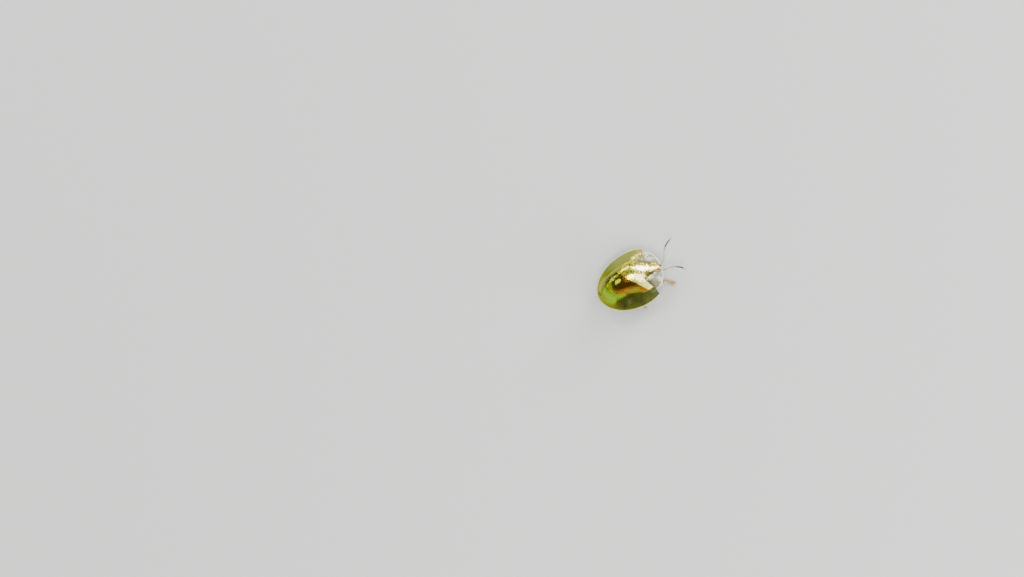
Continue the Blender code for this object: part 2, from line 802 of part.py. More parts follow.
def leg(plan, group, cutters):
    """A leg: coxa, femur, tibia, and a tarsus of two segments, two lobes and two claws."""
    coxa, knee, ankle, toe = leg_joints(plan)
    ball = (COXA_RADIUS, COXA_RADIUS, COXA_RADIUS)
    shapes = [ellipsoid(coxa, ball, sides=10, rings=6)]
    femur = [coxa.lerp(knee, share) for share in (0.0, 0.35, 0.7, 1.0)]
    shapes.append(tube(femur, FEMUR_RADII))
    joint = FEMUR_RADII[-1] * 1.08
    shapes.append(ellipsoid(knee, (joint, joint, joint), sides=8, rings=6))
    shin = [knee.lerp(ankle, share) for share in (0.0, 0.5, 1.0)]
    shapes.append(tube(shin, TIBIA_RADII))
    end = TIBIA_RADII[-1]
    shapes.append(ellipsoid(ankle, (end, end, end * 0.9), sides=10, rings=6))
    run = toe - ankle
    heading = atan2(run.y, run.x)
    turn = Matrix.Rotation(heading, 3, "Z")
    length = run.length
    for share, width in ((0.12, 0.86), (0.42, 0.96)):
        radii = (length * 0.22, TARSUS_HALF_WIDTH * width, TARSUS_HALF_HEIGHT)
        centre = ankle.lerp(toe, share)
        centre.z = toe.z + (ankle.z - toe.z) * (1 - share) ** 3
        shapes.append(ellipsoid(centre, radii, turn, sides=10, rings=6))
    for side in (1, -1):
        spread = Matrix.Rotation(heading + side * LOBE_SPREAD, 3, "Z")
        centre = ankle.lerp(toe, 0.55) + spread @ Vector((length * 0.24, side * 0.05 * MM, 0))
        centre.z = toe.z
        radii = (length * 0.28, TARSUS_HALF_WIDTH * 0.62, TARSUS_HALF_HEIGHT * 0.9)
        shapes.append(ellipsoid(centre, radii, spread, sides=10, rings=6))
        claw_root = ankle.lerp(toe, 0.85) + spread @ Vector((0, side * CLAW_APART, 0))
        outward = spread @ Vector((1, side * 0.15, 0))
        claw_bend = toe + outward * CLAW_LENGTH * 0.55 + Vector((0, 0, CLAW_ARCH))
        claw_tip = toe + outward * CLAW_LENGTH - Vector((0, 0, CLAW_DROP))
        shapes.append(tapered([claw_root, claw_bend, claw_tip], CLAW_RADII, CLAW_STEPS, sides=8))
    item = joined(plan.name, shapes, group, "leg", cutters)
    floor = bmesh.new()
    bmesh.ops.create_cube(floor, size=1.0)
    side_length = BODY_LENGTH * 2
    block = Matrix.Translation((0, 0, -side_length / 2)) @ Matrix.Scale(side_length, 4)
    bmesh.ops.transform(floor, matrix=block, verts=floor.verts)
    combine(item, [floor], "DIFFERENCE", cutters)
    smooth(item)


def main():
    """Build every piece and hang it on one empty."""
    clear_scene()
    parts = collection("tortoise_beetle")
    cutters = collection("cutters")
    wing_case("elytron_left", 1, parts)
    wing_case("elytron_right", -1, parts)
    pronotum(parts)
    scutellum(parts)
    trunk(parts, cutters)
    head(parts, cutters)
    eyes(parts)
    antennae(parts)
    for plan in LEGS:
        leg(plan, parts, cutters)
    anchor = bpy.data.objects.new("tortoise_beetle_anchor", None)
    parts.objects.link(anchor)
    for item in parts.objects:
        if item.type == "MESH":
            item.parent = anchor


main()
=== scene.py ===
"""Looks of a golden tortoise beetle, life size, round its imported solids.

Places on the beetle are (left, ahead, up) in millimetres, with up counted from the plane of
the wing cases' rim. Every mesh is worked out in millimetres and stored in metres.
"""

import logging
from collections.abc import Callable
from dataclasses import dataclass, field
from enum import Enum

import bmesh
import bpy
import numpy as np
from mathutils import Matrix, Vector


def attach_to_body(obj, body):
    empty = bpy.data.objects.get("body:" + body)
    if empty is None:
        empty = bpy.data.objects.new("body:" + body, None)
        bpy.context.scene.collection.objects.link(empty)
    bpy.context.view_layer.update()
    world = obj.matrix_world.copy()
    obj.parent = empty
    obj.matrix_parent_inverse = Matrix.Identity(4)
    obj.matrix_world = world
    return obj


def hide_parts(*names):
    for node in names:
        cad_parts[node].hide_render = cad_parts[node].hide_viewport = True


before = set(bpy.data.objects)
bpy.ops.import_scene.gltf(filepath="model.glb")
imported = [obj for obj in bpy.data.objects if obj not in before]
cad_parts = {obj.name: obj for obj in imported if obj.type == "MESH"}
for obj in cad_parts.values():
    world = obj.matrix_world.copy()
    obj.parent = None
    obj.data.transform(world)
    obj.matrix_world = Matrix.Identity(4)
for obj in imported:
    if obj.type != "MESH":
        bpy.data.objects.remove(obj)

LOG = logging.getLogger("tortoise_beetle")
MM = 0.001
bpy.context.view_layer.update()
Array = np.ndarray
Colour = tuple[float, float, float]
Place = tuple[float, float, float]


class Side(Enum):
    """Left or right of the beetle, as the sign of its left axis."""

    LEFT = 1
    RIGHT = -1


def smoothstep(low: float, high: float, value: Array) -> Array:
    """Go smoothly from 0 to 1 as value goes from low to high.

    Args:
        low: where the result is 0.
        high: where the result is 1; it may lie below low.
        value: what is measured.

    Returns:
        3t^2 - 2t^3, with t the clipped share of the way from low to high.
    """
    share = np.clip((value - low) / (high - low), 0.0, 1.0)
    return share * share * (3 - 2 * share)


def soft_max(first: Array, second: Array, width: float) -> Array:
    """The greater of two heights, rounded over width where they meet."""
    return (first + second + np.sqrt((first - second) ** 2 + width**2)) / 2


def bump(distance: Array, spread: float) -> Array:
    """A round hill of height 1: e to the power of minus the squared distance over spread."""
    return np.exp(-((distance / spread) ** 2))


def circle(count: int) -> Array:
    """Evenly spaced angles once round."""
    return 2 * np.pi * np.arange(count) / count


@dataclass(frozen=True)
class ShellForm:
    """Driving sizes of the beetle's shell in millimetres, and the heights that follow."""

    half_width: float = 3.55
    rear_reach: float = 4.72
    front_reach: float = 3.91
    centre_ahead: float = 0.525
    rim_height: float = 1.0
    peak_ahead: float = 0.3
    peak_up: float = 2.85
    disc_half_width: float = 2.1
    disc_rear: float = 4.4
    disc_front: float = 2.7
    disc_squareness: float = 2.3
    dome_swell: float = 0.72
    margin_slope: float = float(np.tan(np.radians(15)))
    crease: float = 0.40
    rim_bead: float = 0.05
    humerus: tuple[float, float] = (1.52, 0.78)
    humerus_spread: tuple[float, float] = (0.34, 0.42)
    humerus_up: float = 0.10
    base_middle: float = 0.95
    base_corner: float = 1.80
    base_lobe: float = 0.10
    shield_half: float = 2.40
    shield_centre: float = 1.80
    shield_front: float = 3.28
    shield_edge_up: float = 0.26
    shield_drop: float = 0.08
    shoulder_ahead: float = 1.92
    seam: float = 0.02

    def world(self, left: Array, ahead: Array, up: Array) -> Array:
        """Turn beetle places into world places, still in millimetres."""
        left, ahead, up = np.broadcast_arrays(left, ahead, up)
        return np.stack([left, self.centre_ahead - ahead, up + self.rim_height], axis=-1)

    def rim_ratio(self, left: Array, ahead: Array) -> Array:
        """Distance from the middle over the distance of the oval outline that way."""
        reach = np.where(ahead > 0, self.front_reach, self.rear_reach)
        return np.hypot(left / self.half_width, ahead / reach)

    def inward(self, left: Array, ahead: Array) -> Array:
        """Rough distance in from the wing cases' rim."""
        return (1 - self.rim_ratio(left, ahead)) * self.half_width

    def disc_gauge(self, left: Array, ahead: Array) -> Array:
        """1 on the edge of the domed disc, an ellipse in front and a superellipse behind.

        Args:
            left: places left of the middle.
            ahead: places ahead of the middle.

        Returns:
            The gauge, less than 1 inside the disc.
        """
        along = ahead - self.peak_ahead
        across = np.abs(left / self.disc_half_width)
        front = np.hypot(across, along / self.disc_front)
        power = self.disc_squareness
        rear = (across**power + np.abs(along / self.disc_rear) ** power) ** (1 / power)
        return np.where(along > 0, front, rear)

    def disc_edge(self, ahead: Array) -> Array:
        """How far out the domed disc reaches at this distance ahead.

        Args:
            ahead: places ahead of the middle.

        Returns:
            The disc's half width there.
        """
        along = ahead - self.peak_ahead
        front = np.sqrt(np.clip(1 - (along / self.disc_front) ** 2, 0, 1))
        power = self.disc_squareness
        rear = np.clip(1 - np.abs(along / self.disc_rear) ** power, 0, 1) ** (1 / power)
        return self.disc_half_width * np.where(along > 0, front, rear)

    def ridge_up(self, ahead: Array) -> Array:
        """Height along the middle of the back, one minus a power of the way to each end.

        Args:
            ahead: places ahead of the middle.

        Returns:
            The height over the plane of the wing cases' rim.
        """
        along = ahead - self.peak_ahead
        front = np.clip(1 - np.abs(along / self.disc_front) ** 1.3, 0, 1) ** 0.95
        rear = np.clip(1 - np.abs(along / self.disc_rear) ** 2.3, 0, 1) ** 0.62
        return self.peak_up * np.where(along > 0, front, rear)

    def dome_up(self, left: Array, ahead: Array) -> Array:
        """The ridge's height times a rounded cross profile, below the rim off the disc.

        Args:
            left: places left of the middle.
            ahead: places ahead of the middle.

        Returns:
            The height over the plane of the wing cases' rim.
        """
        gauge = self.disc_gauge(left, ahead)
        edge = np.maximum(self.disc_edge(ahead), 1e-6)
        across = np.clip(1 - (left / edge) ** 2, 0, 1) ** self.dome_swell
        return np.where(gauge < 1, self.ridge_up(ahead) * across, (1 - gauge) * self.peak_up)

    def wing_case_up(self, left: Array, ahead: Array) -> Array:
        """Dome and sloping margin, rounded together, with a rim bead and a shoulder bump.

        Args:
            left: places left of the middle.
            ahead: places ahead of the middle.

        Returns:
            The height over the plane of the wing cases' rim.
        """
        inward = self.inward(left, ahead)
        margin = np.maximum(inward, 0) * self.margin_slope
        bead = self.rim_bead * smoothstep(0.25, 0.0, inward)
        across = (np.abs(left) - self.humerus[0]) / self.humerus_spread[0]
        along = (ahead - self.humerus[1]) / self.humerus_spread[1]
        shoulder = self.humerus_up * np.exp(-(across**2) - along**2)
        return soft_max(self.dome_up(left, ahead), margin, self.crease) + bead + shoulder

    def shield_ratio(self, left: Array, ahead: Array) -> Array:
        """1 on the pronotum's half-oval outline, less inside it.

        Args:
            left: places left of the middle.
            ahead: places ahead of the middle.

        Returns:
            The ratio.
        """
        depth = self.shield_front - self.shield_centre
        along = np.maximum(ahead - self.shield_centre, 0) / depth
        return np.hypot(left / self.shield_half, along)

    def shield_up(self, left: Array, ahead: Array) -> Array:
        """The same dome, rounded into the pronotum's own flat margin.

        Args:
            left: places left of the middle.
            ahead: places ahead of the middle.

        Returns:
            The height over the plane of the wing cases' rim.
        """
        inward = np.maximum(1 - self.shield_ratio(left, ahead), 0) * self.shield_half
        margin = self.shield_edge_up + inward * self.margin_slope * 0.6
        return soft_max(self.dome_up(left, ahead), margin, self.crease) - self.shield_drop

    def base_line(self, left: Array) -> Array:
        """How far ahead the joint of pronotum and wing cases lies, a bow with a lobe.

        Args:
            left: places left of the middle.

        Returns:
            The joint's place ahead.
        """
        share = np.minimum(np.abs(left) / self.shield_half, 1)
        lobe = self.base_lobe * bump(left, 0.35)
        return self.base_middle + (self.base_corner - self.base_middle) * share**1.9 - lobe

    def front_edge(self, left: Array) -> Array:
        """How far ahead a wing case's front edge lies, straight past the pronotum's side.

        Args:
            left: places left of the middle.

        Returns:
            The edge's place ahead.
        """
        corner = self.base_line(np.array(self.shield_half)) - self.seam
        shoulder = self.half_width * np.sqrt(1 - (self.shoulder_ahead / self.front_reach) ** 2)
        beyond = np.maximum(np.abs(left) - self.shield_half, 0)
        rise = (self.shoulder_ahead - corner) / (shoulder - self.shield_half)
        inner = self.base_line(left) - self.seam
        return np.where(beyond > 0, corner + beyond * rise, inner)

    def cover_up(self, left: Array, ahead: Array) -> Array:
        """Height of the shell over the body: wing cases behind, pronotum in front."""
        behind = self.wing_case_up(left, ahead)
        return np.where(ahead < self.base_line(left), behind, self.shield_up(left, ahead))


FORM = ShellForm()


class Socket:
    """A number in a material's nodes that Python expressions work on."""

    def __init__(self, graph: "Graph", socket: bpy.types.NodeSocket) -> None:
        """Wrap an output socket of a graph's node."""
        self.graph = graph
        self.socket = socket

    def math(self, operation: str, first: object, second: object) -> "Socket":
        """Add a Math node.

        Args:
            operation: the node's operation.
            first: its first value or socket.
            second: its second value or socket.

        Returns:
            The node's result.
        """
        made = self.graph.node("ShaderNodeMath", {"operation": operation}, {0: first, 1: second})
        return Socket(self.graph, made.outputs[0])

    def __add__(self, other: object) -> "Socket":
        """Self plus other."""
        return self.math("ADD", self, other)

    def __radd__(self, other: object) -> "Socket":
        """Other plus self."""
        return self.math("ADD", other, self)

    def __sub__(self, other: object) -> "Socket":
        """Self minus other."""
        return self.math("SUBTRACT", self, other)

    def __rsub__(self, other: object) -> "Socket":
        """Other minus self."""
        return self.math("SUBTRACT", other, self)

    def __mul__(self, other: object) -> "Socket":
        """Self times other."""
        return self.math("MULTIPLY", self, other)

    def __rmul__(self, other: object) -> "Socket":
        """Other times self."""
        return self.math("MULTIPLY", other, self)

    def __truediv__(self, other: object) -> "Socket":
        """Self over other."""
        return self.math("DIVIDE", self, other)

    def __pow__(self, power: object) -> "Socket":
        """Self to a power."""
        return self.math("POWER", self, power)

    def __abs__(self) -> "Socket":
        """Size of self without its sign."""
        return self.math("ABSOLUTE", self, 0.0)

    def least(self, other: object) -> "Socket":
        """The smaller of self and other."""
        return self.math("MINIMUM", self, other)

    def most(self, other: object) -> "Socket":
        """The greater of self and other."""
        return self.math("MAXIMUM", self, other)

    def step(self, low: float, high: float) -> "Socket":
        """Go smoothly from 0 to 1 as self goes from low to high, also where low is greater.

        Args:
            low: where the result is 0.
            high: where the result is 1.

        Returns:
            The result, 3t^2 - 2t^3 of the clipped share of the way.
        """
        flipped = low > high
        ends = {1: min(low, high), 2: max(low, high), 3: float(flipped), 4: float(not flipped)}
        settings = {"interpolation_type": "SMOOTHSTEP"}
        made = self.graph.node("ShaderNodeMapRange", settings, {0: self, **ends})
        return Socket(self.graph, made.outputs[0])


class Graph:
    """The node tree of one material, with its shader."""

    def __init__(self, name: str) -> None:
        """Make a material of this name.

        Args:
            name: the material's name.
        """
        self.material = bpy.data.materials.new(name)
        self.material.use_nodes = True
        self.tree = self.material.node_tree
        self.shader = self.tree.nodes["Principled BSDF"]

    def node(self, kind: str, settings: dict, inputs: dict) -> bpy.types.Node:
        """Add a node.

        Args:
            kind: the node's type.
            settings: its own settings, which are set first.
            inputs: a value, socket or colour for each input's name or number.

        Returns:
            The new node.
        """
        made = self.tree.nodes.new(kind)
        for key, value in settings.items():
            setattr(made, key, value)
        for key, value in inputs.items():
            self.feed(made.inputs[key], value)
        return made

    def feed(self, target: bpy.types.NodeSocket, value: object) -> None:
        """Link a socket to an input, or set the input's own value.

        Args:
            target: the input.
            value: a socket, a colour or a number.
        """
        if isinstance(value, Socket):
            self.tree.links.new(value.socket, target)
        elif isinstance(value, bpy.types.NodeSocket):
            self.tree.links.new(value, target)
        elif isinstance(value, tuple) and len(value) == 3 and target.type == "RGBA":
            target.default_value = (*value, 1.0)
        else:
            target.default_value = value

    def principled(self, **inputs: object) -> None:
        """Feed the shader's inputs, named with _ for each space."""
        for key, value in inputs.items():
            self.feed(self.shader.inputs[key.replace("_", " ")], value)

    def places(self) -> tuple[Socket, Socket, Socket]:
        """Left, ahead and up on the beetle in millimetres, from Object coordinates.

        Returns:
            One socket for each.
        """
        coordinates = self.node("ShaderNodeTexCoord", {}, {}).outputs["Object"]
        parts = self.node("ShaderNodeSeparateXYZ", {}, {0: coordinates}).outputs
        x, y, z = (Socket(self, part) / MM for part in parts)
        return x, FORM.centre_ahead - y, z - FORM.rim_height

    def scaled(self, stretch: Place = (1.0, 1.0, 1.0)) -> bpy.types.NodeSocket:
        """Object coordinates in millimetres, stretched along each axis.

        Args:
            stretch: how much finer a pattern gets along each axis.

        Returns:
            The coordinates' socket.
        """
        coordinates = self.node("ShaderNodeTexCoord", {}, {}).outputs["Object"]
        scale = tuple(share / MM for share in stretch)
        return self.node("ShaderNodeMapping", {}, {"Vector": coordinates, "Scale": scale}).outputs[0]

    def noise(self, per_mm: float, detail: float = 3.0, stretch: Place = (1.0, 1.0, 1.0)) -> Socket:
        """Cloudy noise from 0 to 1 with this many waves in a millimetre."""
        inputs = {"Vector": self.scaled(stretch), "Scale": per_mm, "Detail": detail}
        return Socket(self, self.node("ShaderNodeTexNoise", {}, inputs).outputs[0])

    def cells(self, per_mm: float) -> Socket:
        """Distance to the edges of irregular cells.

        Args:
            per_mm: how many cells there are in a millimetre.

        Returns:
            The distance.
        """
        inputs = {"Vector": self.scaled(), "Scale": per_mm}
        made = self.node("ShaderNodeTexVoronoi", {"feature": "DISTANCE_TO_EDGE"}, inputs)
        return Socket(self, made.outputs["Distance"])

    def attribute(self, name: str) -> Socket:
        """A number that the mesh stores at each vertex."""
        made = self.node("ShaderNodeAttribute", {"attribute_name": name}, {})
        return Socket(self, made.outputs["Fac"])

    def blend(self, share: object, first: object, second: object) -> bpy.types.NodeSocket:
        """Mix two colours.

        Args:
            share: 0 for the first colour, 1 for the second.
            first: a colour or a colour socket.
            second: a colour or a colour socket.

        Returns:
            The mixed colour's socket.
        """
        settings = {"data_type": "RGBA", "clamp_factor": True}
        return self.node("ShaderNodeMix", settings, {0: share, 6: first, 7: second}).outputs[2]

    def paint(self, base: object, *coats: tuple[object, object]) -> object:
        """Lay colours over a base, one after the other.

        Args:
            base: a colour or a colour socket.
            coats: for each a mask that is 1 where it covers, and its colour.

        Returns:
            The painted colour's socket.
        """
        for mask, colour in coats:
            base = self.blend(mask, base, colour)
        return base

    def ramp(self, share: Socket, stops: list[tuple[float, Colour]]) -> bpy.types.NodeSocket:
        """A colour ramp with (place, colour) stops from left to right.

        Args:
            share: the place on the ramp, from 0 to 1.
            stops: places with their colours.

        Returns:
            The colour's socket.
        """
        made = self.node("ShaderNodeValToRGB", {}, {0: share})
        elements = made.color_ramp.elements
        while len(elements) < len(stops):
            elements.new(0.5)
        for element, (place, colour) in zip(elements, stops):
            element.position = place
            element.color = (*colour, 1.0)
        return made.outputs[0]

    def see_through(self, opacity: Socket, tint: Colour) -> None:
        """Let tinted light through the surface where its opacity is less than 1.

        Args:
            opacity: 1 where the surface hides what lies behind.
            tint: the light's colour after it.
        """
        glass = self.node("ShaderNodeBsdfTransparent", {}, {"Color": tint}).outputs[0]
        mixed = self.node("ShaderNodeMixShader", {}, {0: opacity, 1: glass, 2: self.shader.outputs[0]})
        self.feed(self.tree.nodes["Material Output"].inputs["Surface"], mixed.outputs[0])

    def relief(self, height: Socket, depth_mm: float) -> bpy.types.NodeSocket:
        """A normal bumped by a height of 0 to 1 that stands for a depth in millimetres."""
        inputs = {"Height": height, "Distance": depth_mm * MM, "Strength": 1.0}
        return self.node("ShaderNodeBump", {}, inputs).outputs[0]


@dataclass(frozen=True)
class ShellGold:
    """Mirror-like gold of the wing cases, clear olive round it.

    The near flank is brown, then orange with a green streak, and leaf green behind, all painted
    reflections of the surroundings in the gold. A painted pale highlight crosses the front, a little
    less metallic where it faces the floor, and the far flank fades to plain olive, a painted darker
    reflection. The near margin's dark tint is painted shade, of the shadow under the body seen through
    it.
    """

    gold: Colour = (0.80, 0.66, 0.01)
    # Painted highlight: the pale glare across the front, with brighter flash patches and deeper gold
    # patches in it.
    pale: Colour = (1.0, 0.93, 0.11)
    flash: Colour = (1.0, 0.95, 0.30)
    deep: Colour = (0.42, 0.34, 0.002)
    # Painted reflections of the surroundings in the gold of the near flank: saddle, bands, streaks, leaf
    # green behind and the glint.
    brown: Colour = (0.12, 0.048, 0.0)
    ochre_reflection: Colour = (0.27, 0.125, 0.0)
    orange_reflection: Colour = (0.40, 0.15, 0.0)
    ember_reflection: Colour = (0.45, 0.20, 0.0)
    amber: Colour = (0.36, 0.26, 0.0)
    green_reflection: Colour = (0.16, 0.26, 0.0)
    leaf_reflection: Colour = (0.21, 0.36, 0.0)
    lime_reflection: Colour = (0.82, 0.92, 0.0)
    # Painted reflection: olive, on the far flank, along the seam and in the highlight's patches.
    olive: Colour = (0.21, 0.21, 0.0)
    shade: Colour = (0.045, 0.045, 0.0)
    # Near margin: painted shade, dark like the shadow under the body seen through it, a little paler
    # towards the rear.
    clear: Colour = (0.045, 0.055, 0.004)
    clear_rear: Colour = (0.14, 0.13, 0.0)
    # Far margin: painted light, a paler olive like lit ground showing through, darker towards the rear.
    clear_far_lit: Colour = (0.27, 0.29, 0.05)
    clear_left: Colour = (0.15, 0.18, 0.005)
    rim: Colour = (0.70, 0.75, 0.38)
    tint: Colour = (0.50, 0.51, 0.20)
    edge_tint: Colour = (0.80, 0.78, 0.25)
    # Painted reflection: the far flank's plain olive.
    far_flank_reflection: Colour = (0.30, 0.31, 0.035)
    shoulder: Colour = (0.46, 0.22, 0.05)

    def front_line(self, left: Socket) -> Socket:
        """How far ahead the pale gold starts: a parabola on the right, straight on the left."""
        # The pale gold that starts here is a painted highlight.
        out = left.least(0.0)
        return out * out * 0.29 - out * 0.30 + left.most(0.0) * 0.5 - 0.88

    def near_flank(
        self, graph: Graph, ahead: Socket, left: Socket, wobble: Socket
    ) -> tuple[bpy.types.NodeSocket, Socket]:
        """Brown saddle, orange band with a green streak, leaf-green rear, and the lime glint.

        All of these are painted reflections of the surroundings, and the glint is a painted highlight.
        The bands follow the disc's edge but swing outwards in front, by a square of the distance ahead
        of the middle.

        Args:
            graph: the material's nodes.
            ahead: the place ahead.
            left: the place left of the middle.
            wobble: slow noise round 0.

        Returns:
            The flank's colour and the glint's mask.
        """
        swing = (ahead + 1.1).most(0.0)
        band = graph.attribute("gauge") - swing * swing * 0.07 + wobble * 0.09
        # Painted reflections in bands from the middle of the disc out to its edge: olive, a brown
        # saddle, and an ochre and orange band.
        stops = [
            (0.0, self.olive),
            (0.22, self.brown),
            (0.67, self.brown),
            (0.72, self.ochre_reflection),
            (0.755, self.orange_reflection),
            (0.80, self.orange_reflection),
            (0.84, self.ochre_reflection),
            (0.88, self.brown),
        ]
        # Painted reflection: ember flecks in the orange band and darker brown streaks in the saddle.
        embers = graph.noise(4.0, 4.0, (0.7, 0.3, 0.7)).step(0.50, 0.64)
        grain = graph.noise(5.0, 3.0, (0.5, 0.16, 0.5)).step(0.42, 0.62)
        # Painted reflection: an amber and green streak near the edge, and olive and shade where the
        # flank turns towards the seam behind.
        streak = (band - 0.84) ** 2.0 * 420.0 + (ahead + 0.35) ** 2.0 * 2.2
        behind = ahead - left * 1.77 + wobble * 0.6 + 0.15
        turning = graph.blend(graph.noise(4.0).step(0.42, 0.58), self.olive, self.shade)
        # Painted reflection: leaf green behind, hazed with lime, with olive at the very rear.
        haze = (left + 0.45) ** 2.0 * 3.0 + (ahead + 2.75) ** 2.0 * 4.0 + wobble * 2.0
        leaf_reflection = graph.paint(
            self.leaf_reflection,
            (graph.noise(1.6).step(0.35, 0.75) * 0.5, self.green_reflection),
            (haze.step(1.0, 0.2) * 0.45, self.lime_reflection),
            (ahead.step(-3.6, -4.2) * 0.8, self.olive),
        )
        # Painted highlight: the lime glint.
        oval = (left + 0.56) ** 2.0 * 26.0 + (ahead + 1.56) ** 2.0 * 6.5
        glint = (oval + (graph.noise(5.0) - 0.5) * 2.4).step(1.3, 0.5)
        flank = graph.paint(
            graph.ramp(band, stops),
            (embers * band.step(0.69, 0.74) * band.step(0.85, 0.80) * 0.7, self.ember_reflection),
            (grain * band.step(0.60, 0.72) * 0.55, self.brown),
            (streak.step(2.4, 1.2) * 0.6, self.amber),
            (streak.step(1.2, 0.5), self.green_reflection),
            (band.step(0.81, 0.86) * ahead.step(-1.2, -1.7), self.leaf_reflection),
            (behind.step(0.05, -0.12) * band.step(0.70, 0.62), turning),
            ((ahead - left * 0.10 + wobble * 0.45).step(-2.22, -2.50), leaf_reflection),
            (glint, self.lime_reflection),
        )
        return flank, glint

    def far_flank(
        self, graph: Graph, ahead: Socket, left: Socket, wobble: Socket
    ) -> bpy.types.NodeSocket:
        """Olive gold, mottled along the seam, with a dark wedge beside it behind.

        Args:
            graph: the material's nodes.
            ahead: the place ahead.
            left: the place left of the middle.
            wobble: slow noise round 0.

        Returns:
            The flank's colour.
        """
        # Painted reflection: the far flank's olive, with gold by the seam in front, painted shade
        # mottled along the seam, and a dark wedge behind.
        stops = [(0.16, self.olive), (0.5, self.far_flank_reflection), (1.0, self.clear_far_lit)]
        mottle = graph.noise(4.0).step(0.44, 0.56) * left.step(0.8, 0.35) * ahead.step(-0.5, -0.9)
        wedge = ((left - 0.45) * 2.6) ** 2.0 + (ahead + 2.55 + wobble * 0.4) ** 2.0 * 2.2
        return graph.paint(
            graph.ramp((left + wobble * 0.3) * 0.5, stops),
            (left.step(0.35, 0.10) * ahead.step(-1.2, -0.7), self.gold),
            (mottle * 0.8, self.shade),
            (wedge.step(1.0, 0.4) * 0.85, self.shade),
        )

    def margin(self, graph: Graph, ahead: Socket, left: Socket) -> tuple[bpy.types.NodeSocket, Socket]:
        """Colour and opacity of the clear margin: ribs, a fine net, rim and shoulders.

        Args:
            graph: the material's nodes.
            ahead: the place ahead.
            left: the place left of the middle.

        Returns:
            The margin's colour and its opacity.
        """
        rib, rim = graph.attribute("rib"), graph.attribute("rim")
        far = left.step(-0.4, 0.6)
        net = graph.cells(8.0).step(0.12, 0.02)
        # Painted shade on the near side, of the shadow under the body seen through the margin, and
        # painted light on the far side, where it is paler.
        near = graph.blend(ahead.step(-2.5, -3.5), self.clear, self.clear_rear)
        beyond = graph.blend(ahead.step(-1.0, -3.0), self.clear_far_lit, self.clear_left)
        sheen = graph.noise(1.3, 2.0, (1.0, 0.5, 1.0)).step(0.48, 0.66)
        drawn = rib * (ahead.step(-0.6, 0.6) * 0.06 + 0.035)
        corner = ahead.step(0.95, 1.45) * abs(left).step(2.35, 2.65)
        mottle = graph.noise(3.2, 4.0).step(0.40, 0.60) * 0.5 + 0.4
        clear = graph.paint(
            near,
            (far, beyond),
            ((drawn + net * 0.02 + sheen * 0.14) * (1.0 - far * 0.8), self.rim),
            (corner * left.step(0.0, 0.1) * mottle, self.shoulder),
            (rim * 0.8, self.rim),
        )
        solid = far * 0.42 + ahead.step(-2.6, -3.6) * 0.30
        window = rib * 0.04 + net * 0.03 + rim * 0.50 + corner * 0.25 + solid + 0.28
        return clear, window

    def build(self) -> bpy.types.Material:
        """Make the material.

        Returns:
            The material.
        """
        graph = Graph("shell_gold")
        left, ahead, _ = graph.places()
        wobble = graph.noise(1.1, 4.0) - 0.5
        near, glint = self.near_flank(graph, ahead, left, wobble)
        far = self.far_flank(graph, ahead, left, wobble)
        flank = graph.blend(left.step(-0.03, 0.03), near, far)
        front = ahead - self.front_line(left) + wobble * 0.35
        # Painted highlight: the pale band across the front, brighter on the near side and the far
        # shoulder, broken by deeper gold and olive patches, with gold along its edge.
        mottle = graph.noise(3.5, 4.0).step(0.40, 0.62)
        flecks = graph.noise(6.5, 3.0).step(0.62, 0.70) * front.step(0.3, 0.6)
        patches = graph.noise(3.0, 3.0).step(0.46, 0.56)
        bright = (left.step(-0.45, -1.0) * ahead.step(-0.6, -0.2)).most(left.step(0.9, 1.3) * 0.6)
        pale = graph.paint(
            self.pale,
            (bright, self.flash),
            (mottle * (0.85 - bright * 0.40), self.deep),
            (flecks.most(patches * left.step(0.1, 0.6)) * 0.8, self.olive),
            (front.step(0.42, 0.0) * 0.85, self.gold),
        )
        pit = graph.attribute("pit")
        gold = graph.paint(flank, (front.step(-0.05, 0.06), pale), (pit * 0.45, self.shade))
        disc = graph.attribute("disc")
        clear, window = self.margin(graph, ahead, left)
        spill = left.step(2.75, 2.45) * left.step(1.3, 1.5) * ahead.step(0.0, 0.45) * (1.0 - patches)
        colour = graph.blend(disc.most(spill), clear, gold)
        dull = left.step(0.30, 1.1) * front.step(0.5, 0.0)
        gauge = graph.attribute("gauge")
        rear_edge = ahead.step(-2.4, -3.2) * gauge.step(0.78, 0.95)
        domed = (disc * gauge.step(1.03, 0.95) * (1.0 - rear_edge * 0.8)).most(spill)
        satin = (bright * front.step(0.0, 0.15)).most(glint * left.step(0.0, -0.1) * 1.2)
        metal = domed * (1.0 - dull * 0.35) + (1.0 - domed) * left.step(-0.4, 0.6) * 0.45
        graph.principled(
            Base_Color=colour,
            Metallic=metal * (0.95 - satin * 0.33),
            Roughness=0.12 + graph.noise(14.0) * 0.08 + ((1.0 - domed) * 0.30).most(dull * 0.42),
            Coat_Weight=domed * (1.0 - dull) * 0.2,
            Coat_Roughness=0.05,
            IOR=1.35,
            Specular_IOR_Level=0.35,
            Specular_Tint=self.edge_tint,
            Normal=graph.relief(graph.noise(2.2, 3.0), 0.045),
        )
        graph.see_through((disc + (1.0 - disc) * window.most(spill)).least(1.0), self.tint)
        return graph.material


